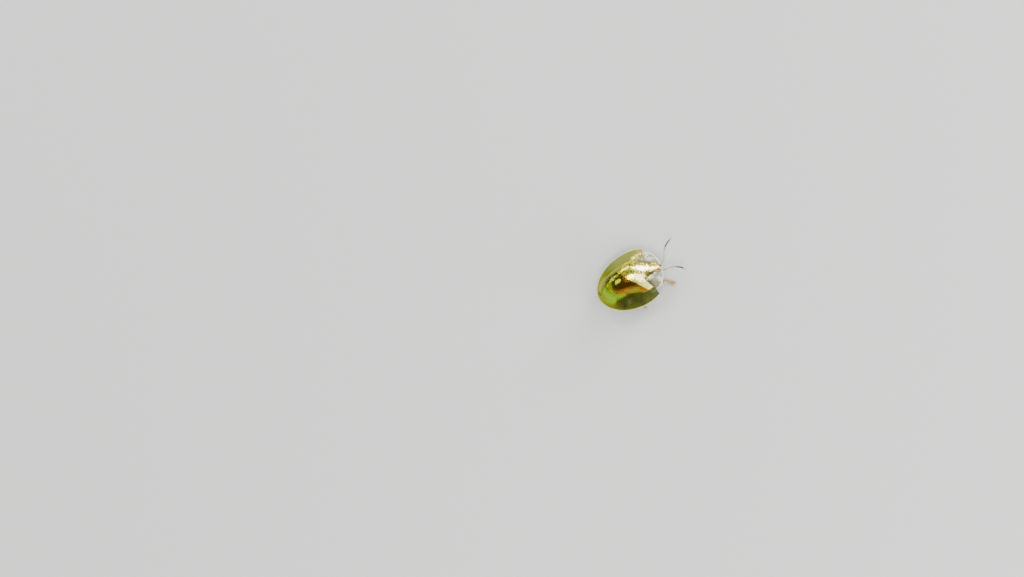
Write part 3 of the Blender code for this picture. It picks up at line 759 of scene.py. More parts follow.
@dataclass(frozen=True)
class ShieldGold:
    """Pale broken glare of the pronotum between clear whitish sides.

    A bronze bar bounds it on the right, and two thin dark lines do on the left.
    """

    pale: Colour = (1.0, 0.94, 0.50)
    gold: Colour = (0.52, 0.42, 0.02)
    bronze: Colour = (0.33, 0.21, 0.008)
    line: Colour = (0.010, 0.006, 0.001)
    dark: Colour = (0.035, 0.028, 0.004)
    blot: Colour = (0.16, 0.075, 0.035)
    clear: Colour = (0.33, 0.34, 0.20)
    rim: Colour = (0.92, 0.92, 0.86)
    tint: Colour = (0.86, 0.87, 0.79)
    shade: Colour = (0.085, 0.068, 0.0005)

    def build(self) -> bpy.types.Material:
        """Make the material.

        The gold's side edge runs from the base forwards and inwards as a power of the
        distance ahead, and the bar and the lines lie along it.

        Returns:
            The material.
        """
        graph = Graph("shield_gold")
        left, ahead, _ = graph.places()
        wobble = graph.noise(2.2, 3.0) - 0.5
        half = 1.20 - ((ahead - 1.30).most(0.0) / 1.65) ** 0.75 * 0.95
        edge = half - abs(left) + wobble * 0.14
        disc = edge.step(-0.06, 0.05)
        far = left.step(-0.05, 0.05)
        bar = (abs(edge + 0.02) - far * 0.09).step(0.20, 0.10) * ahead.step(3.10, 2.85)
        fringe = edge.step(0.42, 0.12).most(ahead.step(2.35, 2.75)).most(left.step(0.15, 0.55)) * 0.22
        gilt = (graph.noise(2.4, 5.0) + fringe).step(0.47, 0.62)
        broken = graph.noise(3.2, 4.0).step(0.38, 0.54)
        gold = graph.paint(
            self.pale,
            (gilt * 0.9, self.gold),
            (far * edge.step(0.95, 0.60) * broken * 0.9, self.shade),
        )
        sway = (graph.noise(4.0) - 0.5) * 0.22
        twin = far * abs(abs(edge + 0.02 + sway) - 0.13).step(0.10, 0.03)
        bars = graph.paint(
            self.dark,
            (graph.noise(3.0).step(0.48, 0.70) + far, self.bronze),
            (far * broken * 0.6, self.gold),
            (twin, self.line),
        )
        blot = (left + 0.47) ** 2.0 + ((ahead - 2.66) * 0.8) ** 2.0 + wobble * 0.03
        blot = blot.step(0.08, 0.03)
        rim, net = graph.attribute("rim"), graph.cells(9.0).step(0.10, 0.02)
        corner = left.step(-1.1, -1.5) * ahead.step(2.5, 2.1)
        cloud = graph.noise(1.6, 3.0).step(0.44, 0.62) * (1.0 - corner * 0.85)
        milk = graph.blend(ahead.step(2.5, 1.7), self.rim, self.pale)
        colour = graph.paint(
            self.clear,
            (cloud * 0.75, milk),
            (net * 0.08 + rim * 0.9, self.rim),
            (disc, gold),
            (bar * 0.95, bars),
            (blot * 0.85, self.blot),
            # Pits painted bronze: painted shade in the recesses.
            (graph.attribute("pit") * 0.5, self.bronze),
        )
        solid = disc.most(bar).most(blot * 0.85)
        window = 0.28 + net * 0.02 + rim * (0.55 - corner * 0.3) + cloud * 0.34 - corner * 0.2
        graph.principled(
            Base_Color=colour,
            Metallic=disc.most(bar) * 0.92,
            Roughness=0.10 + graph.noise(12.0) * 0.10 + bar * 0.12,
            Coat_Weight=(1.0 - bar) * (1.0 - disc * 0.7) * 0.7,
            Coat_Roughness=0.04,
            Normal=graph.relief(graph.noise(2.6, 3.0), 0.075),
        )
        graph.see_through((solid + (1.0 - solid) * window).least(1.0), self.tint)
        return graph.material


@dataclass(frozen=True)
class Horn:
    """Smooth horn of body, head, legs and feelers, in two tones with fine grain.

    The mesh's tone value picks the second colour, as on a dark segment or a pale pad.
    """

    name: str
    main: Colour
    second: Colour
    mottle: Colour
    roughness: float = 0.32
    coat: float = 0.5
    scatter: float = 0.15
    grain_mm: float = 0.004

    def build(self) -> bpy.types.Material:
        """Make the material.

        Returns:
            The material.
        """
        graph = Graph(self.name)
        clouds = graph.noise(3.0, 5.0)
        fine = graph.cells(16.0)
        base = graph.blend(clouds.step(0.40, 0.66) * 0.8, self.main, self.mottle)
        colour = graph.blend(graph.attribute("tone"), base, self.second)
        graph.principled(
            Base_Color=colour,
            Roughness=self.roughness + clouds * 0.12,
            Coat_Weight=self.coat,
            Coat_Roughness=0.18,
            Subsurface_Weight=self.scatter,
            Subsurface_Scale=0.15 * MM,
            Normal=graph.relief(fine.step(0.0, 0.35), self.grain_mm),
        )
        return graph.material


@dataclass(frozen=True)
class EyeGloss:
    """Glossy dark eye with a brown shimmer in its facets."""

    dark: Colour = (0.006, 0.004, 0.003)
    shimmer: Colour = (0.045, 0.018, 0.006)

    def build(self) -> bpy.types.Material:
        """Make the material.

        Returns:
            The material.
        """
        graph = Graph("eye_dark")
        facet = graph.attribute("tone")
        graph.principled(
            Base_Color=graph.blend(facet * graph.noise(4.0), self.dark, self.shimmer),
            Roughness=0.30 - facet * 0.10,
            Coat_Weight=0.35,
            Coat_Roughness=0.12,
            Specular_IOR_Level=0.4,
        )
        return graph.material


HEAD_AMBER = Horn("head_amber", (0.34, 0.19, 0.06), (0.14, 0.06, 0.02), (0.46, 0.29, 0.10))
BODY_BROWN = Horn("body_brown", (0.10, 0.05, 0.02), (0.30, 0.16, 0.06), (0.16, 0.08, 0.03))
LEG_AMBER = Horn("leg_amber", (0.40, 0.25, 0.06), (0.54, 0.44, 0.17), (0.23, 0.11, 0.02))
FEELER_PALE = Horn("feeler_pale", (0.41, 0.36, 0.12), (0.035, 0.02, 0.01), (0.36, 0.27, 0.08))


class Finishes:
    """Every material of the beetle, made once."""

    def __init__(self) -> None:
        """Make the materials."""
        self.shell = ShellGold().build()
        self.shield = ShieldGold().build()
        self.eye = EyeGloss().build()
        self.head = HEAD_AMBER.build()
        self.body = BODY_BROWN.build()
        self.leg = LEG_AMBER.build()
        self.feeler = FEELER_PALE.build()


@dataclass
class Skin:
    """Vertices, faces and vertex values collected for one mesh, in millimetres."""

    points: list[Array] = field(default_factory=list)
    corners: list[Array] = field(default_factory=list)
    sizes: list[Array] = field(default_factory=list)
    values: dict[str, list[Array]] = field(default_factory=dict)
    count: int = 0

    def add_points(self, points: Array, values: dict[str, Array]) -> int:
        """Store points with their values.

        Args:
            points: places, one a row.
            values: for each name one number, or one for each point.

        Returns:
            The number of the first new point.
        """
        first = self.count
        for name in dict.fromkeys([*self.values, *values]):
            stored = self.values.setdefault(name, [np.zeros(first)] if first else [])
            stored.append(np.broadcast_to(values.get(name, 0.0), len(points)).astype(float))
        self.points.append(points)
        self.count += len(points)
        return first

    def add_faces(self, faces: Array) -> None:
        """Store faces, one a row."""
        self.corners.append(faces.reshape(-1))
        self.sizes.append(np.full(len(faces), faces.shape[1]))

    def sheet(self, grid: Array, wrap: bool = False, **values: Array) -> None:
        """Add an open sheet from a grid of rows and columns of points.

        Args:
            grid: the points, of shape (rows, columns, 3).
            wrap: whether the last column joins the first.
            values: for each name one number, or a grid of rows and columns.
        """
        rows, columns = grid.shape[:2]
        flat = {}
        for name, value in values.items():
            flat[name] = np.broadcast_to(value, (rows, columns)).reshape(-1)
        first = self.add_points(grid.reshape(-1, 3), flat)
        number = first + np.arange(rows * columns).reshape(rows, columns)
        across = np.roll(number, -1, axis=1)
        if not wrap:
            number, across = number[:, :-1], across[:, :-1]
        quads = np.stack([number[:-1], across[:-1], across[1:], number[1:]], axis=-1)
        self.add_faces(quads.reshape(-1, 4))

    def solid(self, rings: Array, **values: Array) -> None:
        """Add a closed form from rings of points, with a pole in the middle of each end.

        Args:
            rings: the points, of shape (rings, sides, 3).
            values: for each name one number, or one for each ring.
        """
        count, sides = rings.shape[:2]
        spread = {}
        for name, value in values.items():
            spread[name] = np.broadcast_to(np.reshape(value, (-1, 1)), (count, sides))
        start = self.count
        self.sheet(rings, wrap=True, **spread)
        around = np.arange(sides)
        following = np.roll(around, -1)
        for ring, order in ((0, (following, around)), (count - 1, (around, following))):
            ends = {name: np.array([value[ring, 0]]) for name, value in spread.items()}
            pole = self.add_points(rings[ring].mean(axis=0)[None], ends)
            low, high = (start + ring * sides + part for part in order)
            self.add_faces(np.stack([low, high, np.full(sides, pole)], axis=-1))

    def make(self, name: str, material: bpy.types.Material, outward: bool = True) -> bpy.types.Object:
        """Make the object.

        Args:
            name: the object's name.
            material: its finish.
            outward: whether closed forms get their faces turned outwards.

        Returns:
            The object, at the origin, with its place in its mesh.
        """
        points = np.concatenate(self.points) * MM
        corners = np.concatenate(self.corners).astype(np.int32)
        sizes = np.concatenate(self.sizes).astype(np.int32)
        mesh = bpy.data.meshes.new(name)
        mesh.vertices.add(len(points))
        mesh.loops.add(len(corners))
        mesh.polygons.add(len(sizes))
        mesh.vertices.foreach_set("co", points.astype(np.float32).reshape(-1))
        mesh.loops.foreach_set("vertex_index", corners)
        starts = np.concatenate([[0], np.cumsum(sizes)[:-1]]).astype(np.int32)
        mesh.polygons.foreach_set("loop_start", starts)
        for label, parts in self.values.items():
            stored = mesh.attributes.new(label, "FLOAT", "POINT")
            stored.data.foreach_set("value", np.concatenate(parts).astype(np.float32))
        mesh.update(calc_edges=True)
        mesh.validate()
        mesh.shade_smooth()
        mesh.materials.append(material)
        item = bpy.data.objects.new(name, mesh)
        bpy.context.scene.collection.objects.link(item)
        if outward:
            turn_outward(mesh)
        return item


def turn_outward(mesh: bpy.types.Mesh, weld: bool = False) -> None:
    """Turn the faces of closed forms outwards.

    Args:
        mesh: the mesh, which is changed.
        weld: whether points that share a place are merged first.
    """
    shape = bmesh.new()
    shape.from_mesh(mesh)
    if weld:
        bmesh.ops.remove_doubles(shape, verts=shape.verts, dist=1e-9)
    bmesh.ops.recalc_face_normals(shape, faces=shape.faces)
    shape.to_mesh(mesh)
    shape.free()


def attach(item: bpy.types.Object, slot: str, *nodes: str) -> None:
    """Let a finished piece ride on the body, in place of its solids.

    Args:
        item: the finished piece.
        slot: its material slot in the record; not used.
        nodes: the solids that it replaces.
    """
    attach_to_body(item, "root")
    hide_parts(*nodes)
    LOG.info("%s: %d faces", item.name, len(item.data.polygons))


def unit(vectors: Array) -> Array:
    """Vectors brought to length 1."""
    return vectors / np.maximum(np.linalg.norm(vectors, axis=-1, keepdims=True), 1e-12)


def curve_points(knots: Array, shares: Array) -> Array:
    """Points on the smooth cubic that passes through every knot.

    Args:
        knots: the points to pass through.
        shares: where on the curve, 0 at its first knot and 1 at its last.

    Returns:
        The points: between two knots, the Catmull-Rom cubic of the four knots round them.
    """
    ends = np.vstack([2 * knots[0] - knots[1], knots, 2 * knots[-1] - knots[-2]])
    along = np.clip(shares, 0, 1) * (len(knots) - 1)
    index = np.minimum(along.astype(int), len(knots) - 2)
    t = (along - index)[:, None]
    before, here, there, after = (ends[index + step] for step in range(4))
    linear = there - before
    square = 2 * before - 5 * here + 4 * there - after
    cube = 3 * here - before - 3 * there + after
    return (2 * here + linear * t + square * t**2 + cube * t**3) / 2


def tube_rings(path: Array, across: Array, upward: Array, sides: int) -> Array:
    """Rings round a path: its points plus an ellipse across the way it runs.

    Args:
        path: the points to follow.
        across: the ellipse's half width at each point.
        upward: its half height at each point.
        sides: how many points a ring has.

    Returns:
        An array of shape (points, sides, 3).
    """
    heading = unit(np.gradient(path, axis=0))
    level = unit(np.cross(heading, [0.0, 0.0, 1.0]))
    rise = np.cross(level, heading)
    angle = circle(sides)
    wide = level[:, None] * (np.cos(angle)[None, :, None] * np.reshape(across, (-1, 1, 1)))
    high = rise[:, None] * (np.sin(angle)[None, :, None] * np.reshape(upward, (-1, 1, 1)))
    return path[:, None] + wide + high


def rounded(count: int) -> tuple[Array, Array]:
    """Shares along a form and the half-circle share of its girth at each.

    Args:
        count: how many rings.

    Returns:
        Places from 0 to 1 that crowd at the ends, and the girth sqrt(1 - (2s - 1)^2) there.
    """
    angle = np.linspace(0.03, np.pi - 0.03, count)
    return (1 - np.cos(angle)) / 2, np.sin(angle)


def unit_ball(count: int, sides: int) -> Array:
    """Rings of a ball of radius 1, from its low end to its high end along its third axis.

    Args:
        count: how many rings.
        sides: how many points a ring has.

    Returns:
        An array of shape (rings, sides, 3).
    """
    share, girth = rounded(count)
    angle = circle(sides)
    across = girth[:, None] * np.cos(angle)
    along = girth[:, None] * np.sin(angle)
    high = np.repeat((2 * share - 1)[:, None], sides, axis=1)
    return np.stack([across, along, high], axis=-1)


def ball_rings(
    centre: Array, radii: Place, turn: Matrix | None = None, count: int = 14, sides: int = 20
) -> Array:
    """Rings of an ellipsoid: the unit ball times its half axes, turned and moved.

    Args:
        centre: its middle.
        radii: its three half axes.
        turn: a rotation, or nothing.
        count: how many rings.
        sides: how many points a ring has.

    Returns:
        An array of shape (rings, sides, 3).
    """
    shape = unit_ball(count, sides) * np.asarray(radii)
    if turn is not None:
        shape = shape @ np.array(turn.to_3x3()).T
    return shape + np.asarray(centre)


def square_to(run: Array, angle: Array) -> Array:
    """Directions square to a run.

    Args:
        run: the way that they are square to, of length 1.
        angle: how far each is turned from level towards upward.

    Returns:
        One direction a row.
    """
    level = unit(np.cross(run, [0.0, 0.0, 1.0]))
    rise = np.cross(level, run)
    return level * np.cos(angle)[:, None] + rise * np.sin(angle)[:, None]


def hair_faces(skin: Skin, roots: Array, tips: Array, radius: float, tone: float) -> None:
    """Add three-sided hairs, each a thin cone from its root to its tip.

    Args:
        skin: what gets them.
        roots: where they start.
        tips: where they end.
        radius: their half thickness at the root.
        tone: their tone value.
    """
    heading = unit(tips - roots)
    helper = np.where(np.abs(heading[:, 2:3]) > 0.9, [[1.0, 0.0, 0.0]], [[0.0, 0.0, 1.0]])
    first = unit(np.cross(heading, helper))
    second = np.cross(heading, first)
    angles = circle(3)[None, :, None]
    base = roots[:, None] + radius * (first[:, None] * np.cos(angles) + second[:, None] * np.sin(angles))
    corners = np.concatenate([base, tips[:, None]], axis=1).reshape(-1, 3)
    start = skin.add_points(corners, {"tone": np.array(tone)})
    number = start + 4 * np.arange(len(roots))[:, None]
    for face in ((0, 1, 3), (1, 2, 3), (2, 0, 3), (2, 1, 0)):
        skin.add_faces(number + np.array(face))


def face_up(item: bpy.types.Object) -> None:
    """Turn an open sheet's faces upwards.

    Args:
        item: the sheet, whose mesh is changed.
    """
    mesh = item.data
    normals = np.zeros(len(mesh.polygons) * 3, np.float32)
    mesh.polygons.foreach_get("normal", normals)
    if normals.reshape(-1, 3)[:, 2].sum() < 0:
        mesh.flip_normals()


def thicken(item: bpy.types.Object, thickness: float) -> None:
    """Give an open sheet a thin wall on its inner side.

    Args:
        item: the sheet.
        thickness: the wall's thickness in millimetres.
    """
    wall = item.modifiers.new("wall", "SOLIDIFY")
    wall.thickness = thickness * MM
    wall.offset = -1
    wall.use_even_offset = False


def plate(
    skin: Skin, name: str, material: bpy.types.Material, wall: float, slot: str, node: str
) -> bpy.types.Object:
    """Make a finished plate from an open sheet.

    Args:
        skin: the sheet.
        name: the piece's name.
        material: its finish.
        wall: its wall's thickness in millimetres.
        slot: its material slot in the record.
        node: the solid that it replaces.

    Returns:
        The plate, facing upwards.
    """
    item = skin.make(name, material, outward=False)
    face_up(item)
    thicken(item, wall)
    attach(item, slot, node)
    return item


@dataclass
class WingCases:
    """The two wing cases: rays from beside the scutellum out to base and rim."""

    finishes: Finishes
    rays: int = 270
    disc_rings: int = 84
    margin_rings: int = 40
    disc_limit: float = 0.985
    disc_share: float = 0.86
    farthest: float = 9.0
    halvings: int = 40
    wall: float = 0.07
    scutellum_wall: float = 0.06
    scutellum_half: float = 0.285
    scutellum_swell: float = 0.025
    start_ahead: float = 0.12
    notch: tuple[float, float] = (0.31, 0.79)
    ribs: int = 44
    striae: float = 0.20
    pit_step: float = 0.15
    pit_radius: float = 0.045
    pit_depth: float = 0.016
    rib_up: float = 0.006

    def reach(self, facing: Array, inside: Callable[[Array, Array], Array]) -> Array:
        """Distance along each ray to the last place inside, by halving.

        Args:
            facing: the rays' directions as (left, ahead).
            inside: tells for places left and ahead whether they are inside.

        Returns:
            One distance a ray.
        """
        near = np.zeros(len(facing))
        far = np.full(len(facing), self.farthest)
        for _ in range(self.halvings):
            middle = (near + far) / 2
            left = FORM.seam + facing[:, 0] * middle
            ahead = self.start_ahead + facing[:, 1] * middle
            hit = inside(left, ahead)
            near = np.where(hit, middle, near)
            far = np.where(hit, far, middle)
        return near

    def directions(self) -> Array:
        """Ray directions whose ends are evenly spaced along the outline.

        Returns:
            One (left, ahead) direction of length 1 a ray.
        """
        first = np.arctan2(self.notch[0] - FORM.seam, self.notch[1] - self.start_ahead)
        angles = np.linspace(first, np.pi, 3000)
        facing = np.stack([np.sin(angles), np.cos(angles)], axis=-1)
        ends = facing * self.reach(facing, self.inside)[:, None]
        run = np.concatenate([[0], np.cumsum(np.linalg.norm(np.diff(ends, axis=0), axis=1))])
        even = np.interp(np.linspace(0, run[-1], self.rays + 1), run, angles)
        return np.stack([np.sin(even), np.cos(even)], axis=-1)

    @staticmethod
    def inside(left: Array, ahead: Array) -> Array:
        """Whether a place lies inside the rim and behind the front edge."""
        return (FORM.rim_ratio(left, ahead) < 1) & (ahead < FORM.front_edge(left))

    def places(self) -> tuple[Array, Array, Array]:
        """Left and ahead of every grid point, and its share of the way round the outline.

        Returns:
            The three grids, with one row a ray.
        """
        facing = self.directions()
        whole = self.reach(facing, self.inside)
        disc = self.reach(facing, lambda left, ahead: FORM.disc_gauge(left, ahead) < self.disc_limit)
        disc = np.minimum(disc, whole * self.disc_share)
        inner = 1 - (1 - np.linspace(0, 1, self.disc_rings)) ** 1.4
        outer = np.linspace(0, 1, self.margin_rings + 1)[1:]
        distance = np.concatenate(
            [disc[:, None] * inner, disc[:, None] + (whole - disc)[:, None] * outer], axis=1
        )
        left = FORM.seam + facing[:, :1] * distance
        ahead = self.start_ahead + facing[:, 1:] * distance
        around = np.repeat(np.linspace(0, 1, len(facing))[:, None], distance.shape[1], axis=1)
        return left, ahead, around

    def pits(self, left: Array, ahead: Array) -> Array:
        """Rows of fine pits on the disc: a small hill at each node of a skewed lattice.

        Args:
            left: places left of the middle.
            ahead: places ahead of the middle.

        Returns:
            How deep the pits are, from 0 to 1.
        """
        row = left / self.striae + 0.12 * np.sin(ahead * 5.3) + 0.10 * np.sin(ahead * 2.1 + left * 3)
        line = np.round(row)
        along = ahead / self.pit_step + 0.5 * (line % 2) + 0.35 * np.sin(line * 2.7)
        spot = np.round(along)
        off = np.hypot((row - line) * self.striae, (along - spot) * self.pit_step)
        depth = 0.65 + 0.35 * np.sin(line * 12.9 + spot * 78.2)
        pit = depth * bump(off, self.pit_radius)
        return pit * smoothstep(0.94, 0.84, FORM.disc_gauge(left, ahead)) * (line > 0)

    def build(self, side: Side) -> bpy.types.Object:
        """Make one wing case, seam to rim.

        Args:
            side: which of the two.

        Returns:
            The wing case.
        """
        left, ahead, around = self.places()
        gauge = FORM.disc_gauge(left, ahead)
        inward = FORM.inward(left, ahead)
        wander = 0.9 * np.sin(around * 23 + side.value) + 0.7 * np.sin(around * 61)
        rib = 0.5 + 0.5 * np.cos(2 * np.pi * self.ribs * around + wander)
        rear = smoothstep(-2.6, -3.3, ahead)
        edge = 0.95 - 0.08 * bump(ahead + 1.2, 1.1) + 0.08 * smoothstep(0.0, 0.8, ahead)
        edge = edge + 0.06 * rear
        off_disc = smoothstep(0.96, 1.06, gauge)
        pit = self.pits(left, ahead)
        up = FORM.wing_case_up(left, ahead) - pit * self.pit_depth + rib * off_disc * self.rib_up
        skin = Skin()
        skin.sheet(
            FORM.world(side.value * left, ahead, up),
            gauge=np.minimum(gauge, 1.3),
            disc=smoothstep(edge + 0.05 + 0.16 * rear, edge - 0.03, gauge - 0.045 * rib * (1 - rear)),
            rib=rib * off_disc,
            rim=smoothstep(0.17, 0.06, inward),
            pit=pit,
        )
        label = side.name.lower()
        shell = self.finishes.shell
        return plate(skin, "wing_case_" + label, shell, self.wall, "shell_gold", "elytron_" + label)

    def scutellum(self) -> bpy.types.Object:
        """Make the small triangle between the wing cases' bases, gently swollen.

        Returns:
            The scutellum.
        """
        v, u = np.meshgrid(np.linspace(0.02, 1, 30), np.linspace(-1, 1, 31), indexing="ij")
        left = u * (self.scutellum_half * v)
        ahead = 0.16 + 0.68 * v
        up = FORM.wing_case_up(left, ahead) + self.scutellum_swell * (1 - u**2)
        skin = Skin()
        skin.sheet(FORM.world(left, ahead, up), gauge=0.1, disc=1.0, rib=0.0, rim=0.0, pit=0.0)
        shell = self.finishes.shell
        return plate(skin, "scutellum_plate", shell, self.scutellum_wall, "shell_gold", "scutellum")


@dataclass
class Pronotum:
    """The shield over head and thorax: lines from its base out to its edge."""

    finishes: Finishes
    columns: int = 240
    rows: int = 110
    wall: float = 0.06
    bead: float = 0.03
    pit_row: float = 0.26
    pit_step: float = 0.24
    pit_radius: float = 0.035
    pit_depth: float = 0.01

    def build(self) -> bpy.types.Object:
        """Make the shield from side to side.

        Returns:
            The shield.
        """
        u = np.linspace(-1, 1, self.columns + 1)
        v = np.linspace(0, 1, self.rows + 1)
        out = np.abs(u)
        base_left = u * FORM.shield_half * 0.985
        base_ahead = FORM.base_line(base_left) + FORM.seam
        angle = np.pi / 2 * (1 - out**1.15)
        edge_left = np.sign(u) * FORM.shield_half * np.cos(angle)
        edge_ahead = FORM.shield_centre + (FORM.shield_front - FORM.shield_centre) * np.sin(angle)
        share = (1 - (1 - v) ** 1.2)[:, None]
        left = base_left + (edge_left - base_left) * share
        ahead = base_ahead + (edge_ahead - base_ahead) * share
        inward = (1 - FORM.shield_ratio(left, ahead)) * FORM.shield_half
        pit = self.pits(left, ahead)
        bead = self.bead * smoothstep(0.2, 0.0, inward)
        up = FORM.shield_up(left, ahead) + bead - self.pit_depth * pit
        skin = Skin()
        skin.sheet(FORM.world(left, ahead, up), rim=smoothstep(0.24, 0.06, inward), pit=pit)
        return plate(skin, "shield", self.finishes.shield, self.wall, "shield_gold", "pronotum")

    def pits(self, left: Array, ahead: Array) -> Array:
        """Sparse fine pits on the middle of the shield, a small hill at each lattice node.

        Args:
            left: places left of the middle.
            ahead: places ahead of the middle.

        Returns:
            How deep the pits are, from 0 to 1.
        """
        row, along = left / self.pit_row, ahead / self.pit_step
        along = along + 0.5 * (np.round(row) % 2)
        across = (row - np.round(row)) * self.pit_row
        off = np.hypot(across, (along - np.round(along)) * self.pit_step)
        middle = smoothstep(0.1, -0.1, np.abs(left) - 1.05 + (ahead - 1.3) * 0.5)
        return bump(off, self.pit_radius) * middle


@dataclass
class Trunk:
    """Thorax and abdomen under the shell: rings along the body, grooved below."""

    finishes: Finishes
    front: float = 1.62
    rear: float = -3.55
    below: float = 0.36
    depth: float = 0.62
    waist: float = -1.0
    ventrites: int = 5
    plate_step: float = 0.05
    furrow_up: float = 0.03
    grooves: tuple[float, ...] = (0.86, -0.12, -0.98)
    groove_up: float = 0.05
    groove_width: float = 0.045
    hip_ring_up: float = 0.07
    hip_ring_radius: float = 0.28
    sides: int = 150
    rings: int = 220

    def below_up(self, left: Array, ahead: Array, lowness: Array) -> Array:
        """The underside's height: a flat bow with plates, a furrow, grooves and rings cut into it.

        What is cut in has a positive height. A belly plate's front edge is cut in by its step,
        and the cut runs out as one minus the cube of the way along the plate.

        Args:
            left: places left of the middle.
            ahead: places ahead of the middle.
            lowness: 1 along the bottom, 0 at the sides.

        Returns:
            The height over the plane of the wing cases' rim.
        """
        span = (self.waist - self.rear) / self.ventrites
        place = (self.waist - ahead) / span
        step = place - np.floor(place)
        last = smoothstep(self.ventrites, self.ventrites - 0.4, place)
        on_belly = smoothstep(0.0, 0.15, place) * last
        plates = self.plate_step * (1 - step**3) * on_belly
        furrow = self.furrow_up * bump(left, 0.05) * smoothstep(-0.2, 0.1, -place)
        cross = sum(self.groove_up * bump(ahead - at, self.groove_width) for at in self.grooves)
        hips = [plan.coxa for plan in LEGS if plan.coxa[0] > 0]
        off_hips = [np.hypot(np.abs(left) - hip[0], ahead - hip[1]) for hip in hips]
        rings = [bump(off - self.hip_ring_radius, self.groove_width) for off in off_hips]
        round_hips = sum(self.hip_ring_up * ring for ring in rings)
        fine = 0.004 * np.sin(left * 31 + 3 * np.sin(ahead * 9)) * np.sin(ahead * 37)
        return -lowness * self.below + (plates + furrow + cross + round_hips + fine) * lowness

    def under_cover(self, left: Array, ahead: Array) -> Array:
        """Height of the surface that lies this depth inside the shell.

        It is the least of the shell's height all round, lowered by how far a ball of that
        depth reaches up there.

        Args:
            left: places left of the middle.
            ahead: places ahead of the middle.

        Returns:
            The height over the plane of the wing cases' rim.
        """
        lowest = FORM.cover_up(left, ahead) - self.depth
        for ring in (0.4, 0.75, 0.95):
            drop = self.depth * np.sqrt(1 - ring**2)
            for angle in circle(12):
                beside = left + self.depth * ring * np.sin(angle)
                beyond = ahead + self.depth * ring * np.cos(angle)
                lowest = np.minimum(lowest, FORM.cover_up(beside, beyond) - drop)
        return lowest

    def build(self) -> bpy.types.Object:
        """Make the body's skin on its solids.

        Returns:
            The trunk.
        """
        share, _ = rounded(self.rings)
        along = 2 * share - 1
        closing = np.sqrt(np.clip(1 - np.abs(along) ** 6, 0, 1))[:, None]
        ahead = ((self.front + self.rear) / 2 + (self.front - self.rear) / 2 * along)[:, None]
        angle = circle(self.sides)[None, :]
        across, upward = np.sin(angle), np.cos(angle)
        left = across * closing * (FORM.disc_edge(ahead) - self.depth)
        ahead = np.broadcast_to(ahead, left.shape)
        arch = FORM.peak_up * closing * np.sqrt(np.clip(upward, 0, 1))
        roof = np.minimum(arch, self.under_cover(left, ahead))
        lowness = np.clip(-upward, 0, 1) ** 0.7 * closing
        up = np.where(upward >= 0, roof, self.below_up(left, ahead, lowness))
        skin = Skin()
        tone = smoothstep(0.75, 1.0, FORM.disc_gauge(left, ahead)).mean(axis=1)
        skin.solid(FORM.world(left, ahead, up), tone=tone * 0.5)
        item = skin.make("trunk", self.finishes.body)
        attach(item, "body_brown", "thorax", "abdomen")
        return item


@dataclass(frozen=True)
class LegPlan:
    """One leg's joints as (left, ahead), in millimetres."""

    name: str
    coxa: tuple[float, float]
    knee: tuple[float, float]
    ankle: tuple[float, float]
    toe: tuple[float, float]


LEGS = (
    LegPlan("leg_front_right", (-0.48, 1.18), (-1.78, 1.72), (-1.50, 3.00), (-2.18, 3.78)),
    LegPlan("leg_middle_right", (-0.72, 0.30), (-1.55, 0.05), (-2.60, -0.44), (-3.28, -0.24)),
    LegPlan("leg_hind_right", (-0.72, -0.55), (-1.55, -1.20), (-1.68, -2.20), (-2.34, -2.50)),
    LegPlan("leg_front_left", (0.48, 1.18), (1.62, 1.72), (2.45, 1.72), (3.12, 1.50)),
    LegPlan("leg_middle_left", (0.72, 0.30), (1.58, 0.40), (2.55, 0.32), (3.22, 0.12)),
    LegPlan("leg_hind_left", (0.72, -0.55), (1.48, -1.35), (1.95, -2.30), (2.30, -2.95)),
)


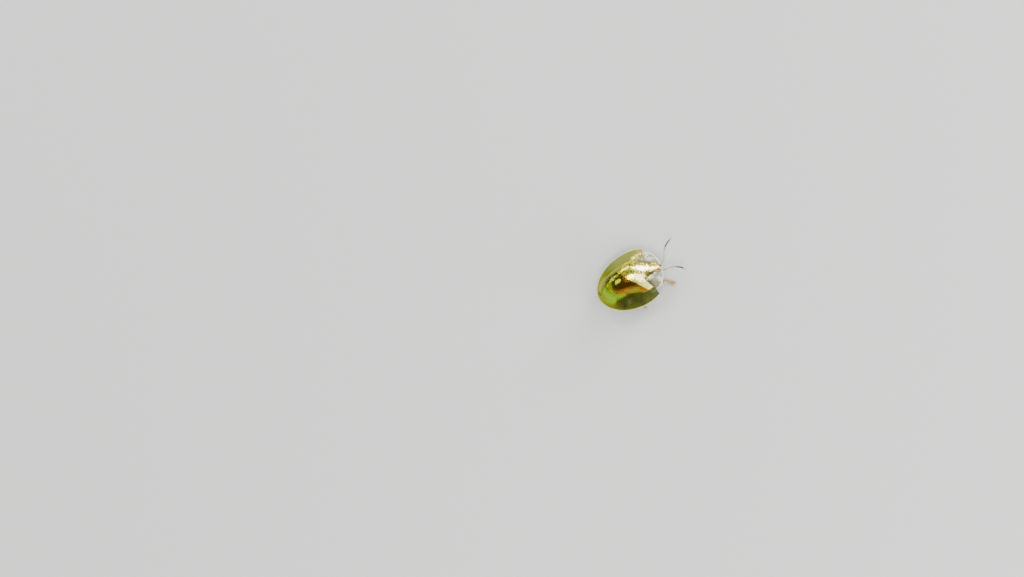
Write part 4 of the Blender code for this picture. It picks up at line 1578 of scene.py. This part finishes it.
@dataclass
class Leg:
    """A leg as its own plates: coxa, trochanter, femur, tibia, lobed tarsus and claws."""

    plan: LegPlan
    finishes: Finishes
    coxa_up: float = -0.44
    knee_up: float = -0.46
    ankle_up: float = -0.70
    toe_up: float = -0.88
    coxa_radius: float = 0.24
    trochanter_radii: Place = (0.15, 0.17, 0.15)
    femur_girth: float = 0.22
    femur_shape: tuple[float, ...] = (0.62, 0.92, 1.0, 0.95, 0.78, 0.60)
    knee_radii: Place = (0.14, 0.14, 0.13)
    tibia_girth: float = 0.15
    tibia_shape: tuple[float, ...] = (0.62, 0.66, 0.72, 0.82, 0.98, 1.12)
    pad_half_height: float = 0.085
    claw_girth: tuple[float, float] = (0.034, 0.006)
    hairs: int = 90
    hair_radius: float = 0.006
    lowest_hair: float = 0.004
    skin: Skin = field(default_factory=Skin)

    def joints(self) -> list[Array]:
        """World places of coxa, knee, ankle and toe, in millimetres.

        Returns:
            One place a joint, from the body outwards.
        """
        plan = self.plan
        ups = (self.coxa_up, self.knee_up, self.ankle_up, self.toe_up)
        flat = (plan.coxa, plan.knee, plan.ankle, plan.toe)
        return [FORM.world(left, ahead, up) for (left, ahead), up in zip(flat, ups)]

    def spindle(
        self, start: Array, end: Array, girth: Array, flat: float, tone: float, bow: float = 0.0
    ) -> None:
        """Add a segment whose girth follows a profile and whose ends are round.

        Args:
            start: where it begins.
            end: where it ends.
            girth: half widths at evenly spaced places along it.
            flat: half height over half width.
            tone: its tone value.
            bow: how far its middle rises above the straight line.
        """
        share, ends = rounded(34)
        path = start + (end - start) * share[:, None]
        path[:, 2] += bow * np.sin(np.pi * share)
        profile = np.interp(share, np.linspace(0, 1, len(girth)), girth)
        profile = profile * np.minimum(1.0, ends * 2.2) ** 0.55
        self.skin.solid(tube_rings(path, profile, profile * flat, 22), tone=tone)

    def lobe(self, centre: Array, heading: float, size: Place, tone: float) -> None:
        """Add a flattened, rounded lobe that points along a heading.

        Args:
            centre: its middle.
            heading: the angle at which it points, from the x axis.
            size: its half length, half width and half height.
            tone: its tone value.
        """
        turn = Matrix.Rotation(heading, 3, "Z") @ Matrix.Rotation(np.pi / 2, 3, "Y")
        radii = (size[2], size[1], size[0])
        self.skin.solid(ball_rings(centre, radii, turn, 14, 18), tone=tone)

    def tarsus(self, ankle: Array, toe: Array) -> None:
        """Add three lobed segments, the claw segment and two claws.

        Args:
            ankle: where it starts.
            toe: where its claws start.
        """
        run = toe - ankle
        heading = float(np.arctan2(run[1], run[0]))
        length = float(np.linalg.norm(run))
        forward = np.array([np.cos(heading), np.sin(heading), 0.0])
        aside = np.array([-np.sin(heading), np.cos(heading), 0.0])
        floor = FORM.rim_height + self.toe_up - 0.12
        thick = self.pad_half_height
        for share, half, rise in ((0.14, 0.15, 0.075), (0.34, 0.19, 0.02)):
            centre = ankle + run * share
            centre[2] = floor + thick + rise
            for side in (1, -1):
                place = centre + aside * side * half * 0.42
                turn = heading + side * np.radians(20)
                self.lobe(place, turn, (length * 0.15, half * 0.62, thick), 0.1)
        for side in (1, -1):
            place = ankle + run * 0.70 + aside * side * 0.115
            place[2] = floor + thick
            self.lobe(place, heading + side * np.radians(14), (length * 0.26, 0.13, thick), 0.55)
            self.brush(place - [0, 0, 0.02], forward, aside, length * 0.24, 0.11)
        root = ankle + run * 0.56
        root[2] = floor + 0.15
        tip = toe + forward * 0.04
        tip[2] = floor + 0.16
        self.spindle(root, tip, np.array([0.035, 0.045, 0.06]), 0.9, 0.3, 0.03)
        for side in (1, -1):
            knots = np.array(
                [
                    tip - forward * 0.03 + aside * side * 0.02,
                    tip + forward * 0.07 + aside * side * 0.06 + [0, 0, 0.02],
                    tip + forward * 0.14 + aside * side * 0.08 - [0, 0, 0.02],
                    tip + forward * 0.16 + aside * side * 0.075 - [0, 0, 0.10],
                ]
            )
            path = curve_points(knots, np.linspace(0, 1, 16))
            girth = np.linspace(*self.claw_girth, 16)
            self.skin.solid(tube_rings(path, girth, girth, 10), tone=0.0)

    def brush(self, centre: Array, forward: Array, aside: Array, length: float, half: float) -> None:
        """Add the brush of short hairs under and round a pad.

        Args:
            centre: the pad's middle.
            forward: the way that the foot points.
            aside: the way across it.
            length: the pad's half length.
            half: the pad's half width.
        """
        draw = np.random.default_rng(hash_name(self.plan.name) + int(centre[0] * 100) ** 2)
        angle = draw.uniform(0, 2 * np.pi, self.hairs)
        out = forward * np.cos(angle)[:, None] * length + aside * np.sin(angle)[:, None] * half
        roots = centre + out * draw.uniform(0.75, 0.98, self.hairs)[:, None]
        tips = roots + unit(out) * 0.05
        tips[:, 2] = np.maximum(tips[:, 2] - 0.035, self.lowest_hair)
        hair_faces(self.skin, roots, tips, self.hair_radius, 0.9)

    def setae(self, start: Array, end: Array, girth: float, count: int, reach: float) -> None:
        """Add short hairs that lean towards the end of a segment.

        Args:
            start: where the segment begins.
            end: where it ends.
            girth: its half width.
            count: how many hairs it gets.
            reach: how long they are.
        """
        draw = np.random.default_rng(hash_name(self.plan.name) + count)
        share = draw.uniform(0.25, 0.98, count)
        run = unit(end - start)
        out = square_to(run, draw.uniform(0, 2 * np.pi, count))
        roots = start + (end - start) * share[:, None] + out * girth * 0.9
        tips = roots + out * reach * 0.5 + run * reach
        tips[:, 2] = np.maximum(tips[:, 2], self.lowest_hair)
        hair_faces(self.skin, roots, tips, self.hair_radius, 0.6)

    def build(self) -> bpy.types.Object:
        """Make the leg in place of its solid.

        Returns:
            The leg.
        """
        coxa, knee, ankle, toe = self.joints()
        radius = self.coxa_radius
        run = knee - coxa
        turn = Matrix.Rotation(float(np.arctan2(run[1], run[0])), 3, "Z")
        hip_radii = (radius * 0.82, radius * 1.05, radius * 0.85)
        self.skin.solid(ball_rings(coxa, hip_radii, turn, 22, 30), tone=0.0)
        self.skin.solid(ball_rings(coxa + run * 0.17, self.trochanter_radii, turn), tone=0.25)
        femur = self.femur_girth * np.array(self.femur_shape)
        self.spindle(coxa + run * 0.20, knee, femur, 0.86, 0.0)
        self.skin.solid(ball_rings(knee, self.knee_radii), tone=0.2)
        tibia = self.tibia_girth * np.array(self.tibia_shape)
        self.spindle(knee, ankle + (ankle - knee) * 0.03, tibia, 0.92, 0.15, 0.04)
        self.setae(knee, ankle, self.tibia_girth * 0.9, 70, 0.08)
        self.setae(coxa, knee, self.femur_girth, 40, 0.05)
        self.tarsus(ankle, toe)
        item = self.skin.make("limb_" + self.plan.name[4:], self.finishes.leg)
        attach(item, "leg_amber", self.plan.name)
        return item


def hash_name(name: str) -> int:
    """A small number that depends only on the letters of a name."""
    return sum((place + 1) * ord(letter) for place, letter in enumerate(name))


# Middle line of each feeler from socket to tip, counted left, ahead and up.
FEELER_PATHS = {
    Side.RIGHT: (
        (-0.32, 2.80, -0.30),
        (-0.40, 3.25, -0.28),
        (-0.50, 3.80, -0.14),
        (-0.68, 4.45, -0.06),
        (-1.08, 5.15, -0.10),
        (-1.60, 5.62, -0.20),
    ),
    Side.LEFT: (
        (0.32, 2.80, -0.30),
        (0.46, 3.35, -0.28),
        (0.98, 3.85, -0.12),
        (1.75, 4.20, -0.02),
        (2.35, 4.78, -0.04),
        (2.76, 5.50, -0.14),
    ),
}


@dataclass
class Feelers:
    """Two feelers of eleven segments, thin at every joint, dark before the tip."""

    finishes: Finishes
    lengths: tuple[float, ...] = (1.7, 0.8, 1.0, 1.0, 1.0, 0.9, 0.9, 0.9, 0.9, 0.9, 1.3)
    girths: tuple[float, ...] = (0.12, 0.08, 0.07, 0.068, 0.068, 0.072, 0.085, 0.095, 0.098, 0.098, 0.09)
    dark: tuple[float, float] = (0.62, 0.87)
    hairs: int = 26
    root_sink: float = 0.16

    def build(self, side: Side) -> bpy.types.Object:
        """Make one feeler from its socket to its tip.

        Args:
            side: which of the two.

        Returns:
            The feeler.
        """
        knots = np.array([FORM.world(*point) for point in FEELER_PATHS[side]])
        start = knots[0] + np.array([-side.value * 0.07, self.root_sink, 0.02])
        knots = np.vstack([start, knots[1:]])
        fine = curve_points(knots, np.linspace(0, 1, 2000))
        run = np.concatenate([[0], np.cumsum(np.linalg.norm(np.diff(fine, axis=0), axis=1))])
        marks = np.concatenate([[0], np.cumsum(self.lengths)]) / sum(self.lengths)
        skin = Skin()
        draw = np.random.default_rng(7 + side.value)
        for number, girth in enumerate(self.girths):
            share, ends = rounded(26)
            first, last = marks[number : number + 2]
            place = np.minimum((first + (last - first) * (share * 1.03)) * run[-1], run[-1])
            path = np.stack([np.interp(place, run, fine[:, axis]) for axis in range(3)], axis=-1)
            swell = 0.62 + 0.38 * smoothstep(0.0, 0.7, share)
            if number == len(self.girths) - 1:
                swell = swell * (1 - 0.75 * smoothstep(0.45, 1.0, share))
            profile = girth * swell * np.minimum(1, ends * 2.0) ** 0.5
            middle = (first + last) / 2
            tone = float(smoothstep(self.dark[0] - 0.03, self.dark[0] + 0.03, middle))
            tone *= float(smoothstep(self.dark[1] + 0.03, self.dark[1] - 0.03, middle))
            skin.solid(tube_rings(path, profile, profile, 20), tone=tone)
            self.hair(skin, path, girth, draw, tone)
        item = skin.make("feeler_" + side.name.lower(), self.finishes.feeler)
        attach(item, "feeler_pale", "antenna_" + side.name.lower())
        return item

    def hair(
        self, skin: Skin, path: Array, girth: float, draw: np.random.Generator, tone: float
    ) -> None:
        """Add fine hairs that lean forward along one segment.

        Args:
            skin: what gets them.
            path: the segment's middle line.
            girth: its half width.
            draw: the source of random numbers.
            tone: the segment's tone value.
        """
        pick = draw.integers(6, len(path) - 4, self.hairs)
        run = unit(path[-1] - path[0])
        out = square_to(run, draw.uniform(0, 2 * np.pi, self.hairs))
        roots = path[pick] + out * girth * 0.85
        hair_faces(skin, roots, roots + out * 0.03 + run * 0.06, 0.004, tone * 0.8)


# Middle line of a jaw from root to tip, counted left, ahead and up from the head's middle.
JAW_LINE = ((0.20, 0.16, -0.30), (0.22, 0.25, -0.37), (0.16, 0.31, -0.42), (0.04, 0.32, -0.45))
# Start, end and half thickness of each palp segment, counted the same way.
PALPS = (
    ((0.27, 0.03, -0.33), (0.33, 0.10, -0.40), 0.055),
    ((0.33, 0.10, -0.40), (0.37, 0.19, -0.44), 0.060),
    ((0.37, 0.19, -0.44), (0.34, 0.35, -0.47), 0.058),
    ((0.10, 0.08, -0.41), (0.13, 0.17, -0.46), 0.042),
    ((0.13, 0.17, -0.46), (0.11, 0.28, -0.485), 0.040),
)


@dataclass
class Head:
    """Head under the shield: capsule with its face, mouthparts and feeler sockets."""

    finishes: Finishes
    middle: Place = (0.0, 2.22, -0.22)
    radii: Place = (0.56, 0.47, 0.40)
    labrum: Place = (0.0, 0.31, -0.34)
    labrum_radii: Place = (0.18, 0.085, 0.085)
    jaw_girth: float = 0.10
    socket: Place = (0.235, 0.425, -0.06)
    socket_radius: float = 0.115
    socket_girth: float = 0.028
    bristles: int = 60
    eye_off: Place = (0.47, 0.12, 0.07)
    eye_radii: Place = (0.20, 0.24, 0.29)
    facets: int = 900

    def at(self, left: float, ahead: float, up: float) -> Array:
        """World place of a point given from the head's middle."""
        return FORM.world(self.middle[0] + left, self.middle[1] + ahead, self.middle[2] + up)

    def capsule(self, skin: Skin) -> None:
        """Add the capsule.

        It is an ellipsoid times one plus hills and furrows: clypeus, cheeks, a furrow down
        the brow, two that run from the feelers to the mouth, and a hollow on either side.

        Args:
            skin: what gets it.
        """
        count, sides = 120, 160
        lat = np.linspace(-np.pi / 2 + 0.012, np.pi / 2 - 0.012, count)[:, None]
        lon = circle(sides)[None, :]
        x = np.sin(lat) * np.ones_like(lon)
        ahead = np.cos(lat) * np.cos(lon)
        up = np.cos(lat) * np.sin(lon)
        front = smoothstep(0.1, 0.6, ahead)
        clypeus = 0.16 * bump(np.hypot(x, (up + 0.42) / 1.1), 0.34) * front
        cheeks = 0.10 * bump(np.hypot(np.abs(x) - 0.52, up + 0.60), 0.26)
        brow = -0.035 * bump(x, 0.045) * smoothstep(-0.2, 0.2, up) * front
        lines = np.abs(x) - (0.07 + 0.42 * np.clip(0.12 - up, 0, 1))
        furrows = -0.04 * bump(lines, 0.035) * smoothstep(0.25, 0.05, up) * front
        sockets = -0.10 * bump(np.hypot(np.abs(x) - 0.40, up - 0.02), 0.15) * front
        fine = 0.004 * np.sin(x * 60) * np.sin(up * 55 + 2 * np.sin(x * 20))
        swell = 1 + clypeus + cheeks + brow + furrows + sockets + fine
        wide, deep, high = self.radii
        centre = self.at(0, 0, 0)
        rings = np.stack([wide * x * swell, -deep * ahead * swell, high * up * swell], axis=-1) + centre
        skin.solid(rings, tone=0.0)

    def mouth(self, skin: Skin) -> None:
        """Add labrum, jaws and the two pairs of palps.

        Args:
            skin: what gets them.
        """
        tilt = Matrix.Rotation(np.radians(-35), 3, "X")
        skin.solid(ball_rings(self.at(*self.labrum), self.labrum_radii, tilt, 18, 28), tone=0.35)
        for side in (1, -1):
            jaw = np.array([self.at(side * left, ahead, up) for left, ahead, up in JAW_LINE])
            path = curve_points(jaw, np.linspace(0, 1, 24))
            girth = self.jaw_girth * (1 - 0.85 * np.linspace(0, 1, 24) ** 1.6)
            skin.solid(tube_rings(path, girth, girth * 0.8, 18), tone=1.0)
            for start, end, girth in PALPS:
                first = self.at(side * start[0], start[1], start[2])
                last = self.at(side * end[0], end[1], end[2])
                share, ends = rounded(16)
                path = first + (last - first) * share[:, None]
                profile = girth * np.minimum(1, ends * 1.8) ** 0.6 * (1.1 - 0.45 * share)
                skin.solid(tube_rings(path, profile, profile, 16), tone=0.0)

    def sockets(self, skin: Skin) -> None:
        """Add the raised ring from which each feeler springs.

        Args:
            skin: what gets them.
        """
        angle, bend = circle(28)[:, None], circle(12)[None, :]
        out, ahead, up = self.socket
        for side in (1, -1):
            radius = self.socket_radius + self.socket_girth * np.cos(bend)
            across = np.repeat(self.socket_girth * np.sin(bend), 28, axis=0)
            ring = np.stack([radius * np.cos(angle), across, radius * np.sin(angle)], axis=-1)
            loop = np.concatenate([ring, ring[:1]], axis=0) + self.at(side * out, ahead, up)
            skin.sheet(loop, wrap=True, tone=0.5)

    def build(self) -> bpy.types.Object:
        """Make the head in place of its solid.

        Returns:
            The head.
        """
        skin = Skin()
        self.capsule(skin)
        self.mouth(skin)
        self.sockets(skin)
        draw = np.random.default_rng(11)
        spots = draw.uniform(-1, 1, (self.bristles, 2))
        ahead = np.full(self.bristles, -0.47)
        roots = np.stack([spots[:, 0] * 0.16, ahead, spots[:, 1] * 0.06 - 0.24], axis=-1)
        roots = self.at(0, 0, 0) + roots
        hair_faces(skin, roots, roots + np.array([0.0, -0.05, -0.05]), 0.005, 0.2)
        item = skin.make("head_skin", self.finishes.head)
        turn_outward(item.data, weld=True)
        attach(item, "head_amber", "head")
        return item

    def eye(self, side: Side) -> bpy.types.Object:
        """Make an eye: an ellipsoid whose every facet is a low dome.

        The facets' middles are spread by the golden angle; height falls with the squared
        distance to the nearest one.

        Args:
            side: which of the two.

        Returns:
            The eye.
        """
        number = np.arange(self.facets) + 0.5
        high = 1 - 2 * number / self.facets
        turn = np.pi * (1 + 5**0.5) * number
        ring = np.sqrt(1 - high**2)
        middles = np.stack([ring * np.cos(turn), ring * np.sin(turn), high], axis=-1)
        ball = unit_ball(150, 200)
        nearness = (ball.reshape(-1, 3) @ middles.T).max(axis=1).reshape(ball.shape[:2])
        facet_width = np.sqrt(4 * np.pi / self.facets)
        off = np.clip(np.sqrt(np.clip(2 - 2 * nearness, 0, None)) / (facet_width * 0.6), 0, 1)
        rings = ball * (1 - 0.022 * off[..., None] ** 2) * np.array(self.eye_radii)
        out, ahead, up = self.eye_off
        rings = rings + self.at(side.value * out, ahead, up)
        skin = Skin()
        skin.solid(rings, tone=0.0)
        skin.values["tone"] = [np.concatenate([1 - off.reshape(-1) ** 2, [1.0, 1.0]])]
        item = skin.make("eye_" + side.name.lower() + "_bead", self.finishes.eye)
        attach(item, "eye_dark", "eye_" + side.name.lower())
        return item


@dataclass(frozen=True)
class Lamp:
    """A square soft light: where it stands, its distance and side in metres, and its watts."""

    name: str
    towards: Place
    distance: float
    size: float
    watts: float


LAMPS = (
    Lamp("front_softbox", (0.46, -0.86, 0.32), 0.32, 0.22, 1.7),
    Lamp("near_softbox", (-0.66, -0.72, 0.38), 0.34, 0.20, 0.9),
    Lamp("side_softbox", (-0.73, 0.06, 0.66), 0.40, 0.17, 1.5),
    Lamp("rear_softbox", (0.50, 0.80, 0.55), 0.40, 0.18, 0.8),
    Lamp("left_softbox", (0.83, 0.17, 0.52), 0.40, 0.20, 0.7),
    Lamp("low_softbox", (-0.90, -0.38, 0.26), 0.40, 0.15, 0.6),
)


@dataclass
class Studio:
    """Pale floor, soft lights and the camera at the photograph's angle."""

    floor_colour: Colour = (0.62, 0.62, 0.60)
    world_colour: Colour = (0.86, 0.90, 0.95)
    world_strength: float = 0.46
    lens: float = 180.0
    sensor: float = 36.0
    image: tuple[int, int] = (1024, 577)
    pixels_per_mm: float = 9.02
    anchor_pixel: tuple[float, float] = (635.75, 279.10)
    right: Place = (-0.3181, -0.8829, -0.3455)
    up: Place = (0.8277, -0.4363, 0.3529)
    floor_half: float = 400.0
    floor_up: float = -0.01

    def floor(self) -> None:
        """Add the pale floor."""
        line = np.linspace(-self.floor_half, self.floor_half, 9)
        x, y = np.meshgrid(line, line, indexing="ij")
        skin = Skin()
        skin.sheet(np.stack([x, y, np.full_like(x, self.floor_up)], axis=-1))
        graph = Graph("studio_floor")
        graph.principled(Base_Color=self.floor_colour, Roughness=0.85)
        item = skin.make("floor", graph.material, outward=False)
        face_up(item)

    @staticmethod
    def light(lamp: Lamp) -> None:
        """Add a square soft light that faces the beetle and that the camera doesn't see.

        Args:
            lamp: its place, size and power.
        """
        light = bpy.data.lights.new(lamp.name, "AREA")
        light.shape = "SQUARE"
        light.size = lamp.size
        light.energy = lamp.watts
        item = bpy.data.objects.new(lamp.name, light)
        place = Vector(lamp.towards).normalized() * lamp.distance
        turn = place.to_track_quat("Z", "Y").to_matrix().to_4x4()
        item.matrix_world = Matrix.Translation(place) @ turn
        item.visible_camera = False
        bpy.context.scene.collection.objects.link(item)

    def world(self) -> None:
        """Set an even, pale surrounding light."""
        world = bpy.data.worlds.new("studio")
        world.use_nodes = True
        background = world.node_tree.nodes["Background"]
        background.inputs["Color"].default_value = (*self.world_colour, 1.0)
        background.inputs["Strength"].default_value = self.world_strength
        bpy.context.scene.world = world

    def camera(self) -> None:
        """Set the camera so that the beetle lies where the photograph has it."""
        right = Vector(self.right).normalized()
        up = Vector(self.up)
        up = (up - right * up.dot(right)).normalized()
        back = right.cross(up)
        anchor = Vector((0.0, FORM.centre_ahead, FORM.rim_height)) * MM
        across = (self.image[0] / 2 - self.anchor_pixel[0]) / self.pixels_per_mm * MM
        upward = (self.anchor_pixel[1] - self.image[1] / 2) / self.pixels_per_mm * MM
        target = anchor + right * across + up * upward
        distance = self.lens / self.sensor * self.image[0] / self.pixels_per_mm * MM
        data = bpy.data.cameras.new("camera")
        data.lens = self.lens
        data.sensor_width = self.sensor
        data.clip_start = 0.005
        data.clip_end = 10.0
        item = bpy.data.objects.new("camera", data)
        turned = Matrix((right, up, back)).transposed().to_4x4()
        item.matrix_world = Matrix.Translation(target + back * distance) @ turned
        bpy.context.scene.collection.objects.link(item)
        bpy.context.scene.camera = item

    def build(self) -> None:
        """Set up floor, light and camera."""
        self.floor()
        self.world()
        for lamp in LAMPS:
            self.light(lamp)
        self.camera()


def main() -> None:
    """Build every piece in order."""
    logging.basicConfig(level=logging.INFO, format="%(name)s %(message)s")
    finishes = Finishes()
    cases = WingCases(finishes)
    for side in Side:
        cases.build(side)
    cases.scutellum()
    Pronotum(finishes).build()
    Trunk(finishes).build()
    head = Head(finishes)
    head.build()
    feelers = Feelers(finishes)
    for side in Side:
        head.eye(side)
        feelers.build(side)
    for plan in LEGS:
        Leg(plan, finishes).build()
    Studio().build()
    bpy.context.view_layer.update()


if __name__ == "__main__":
    main()
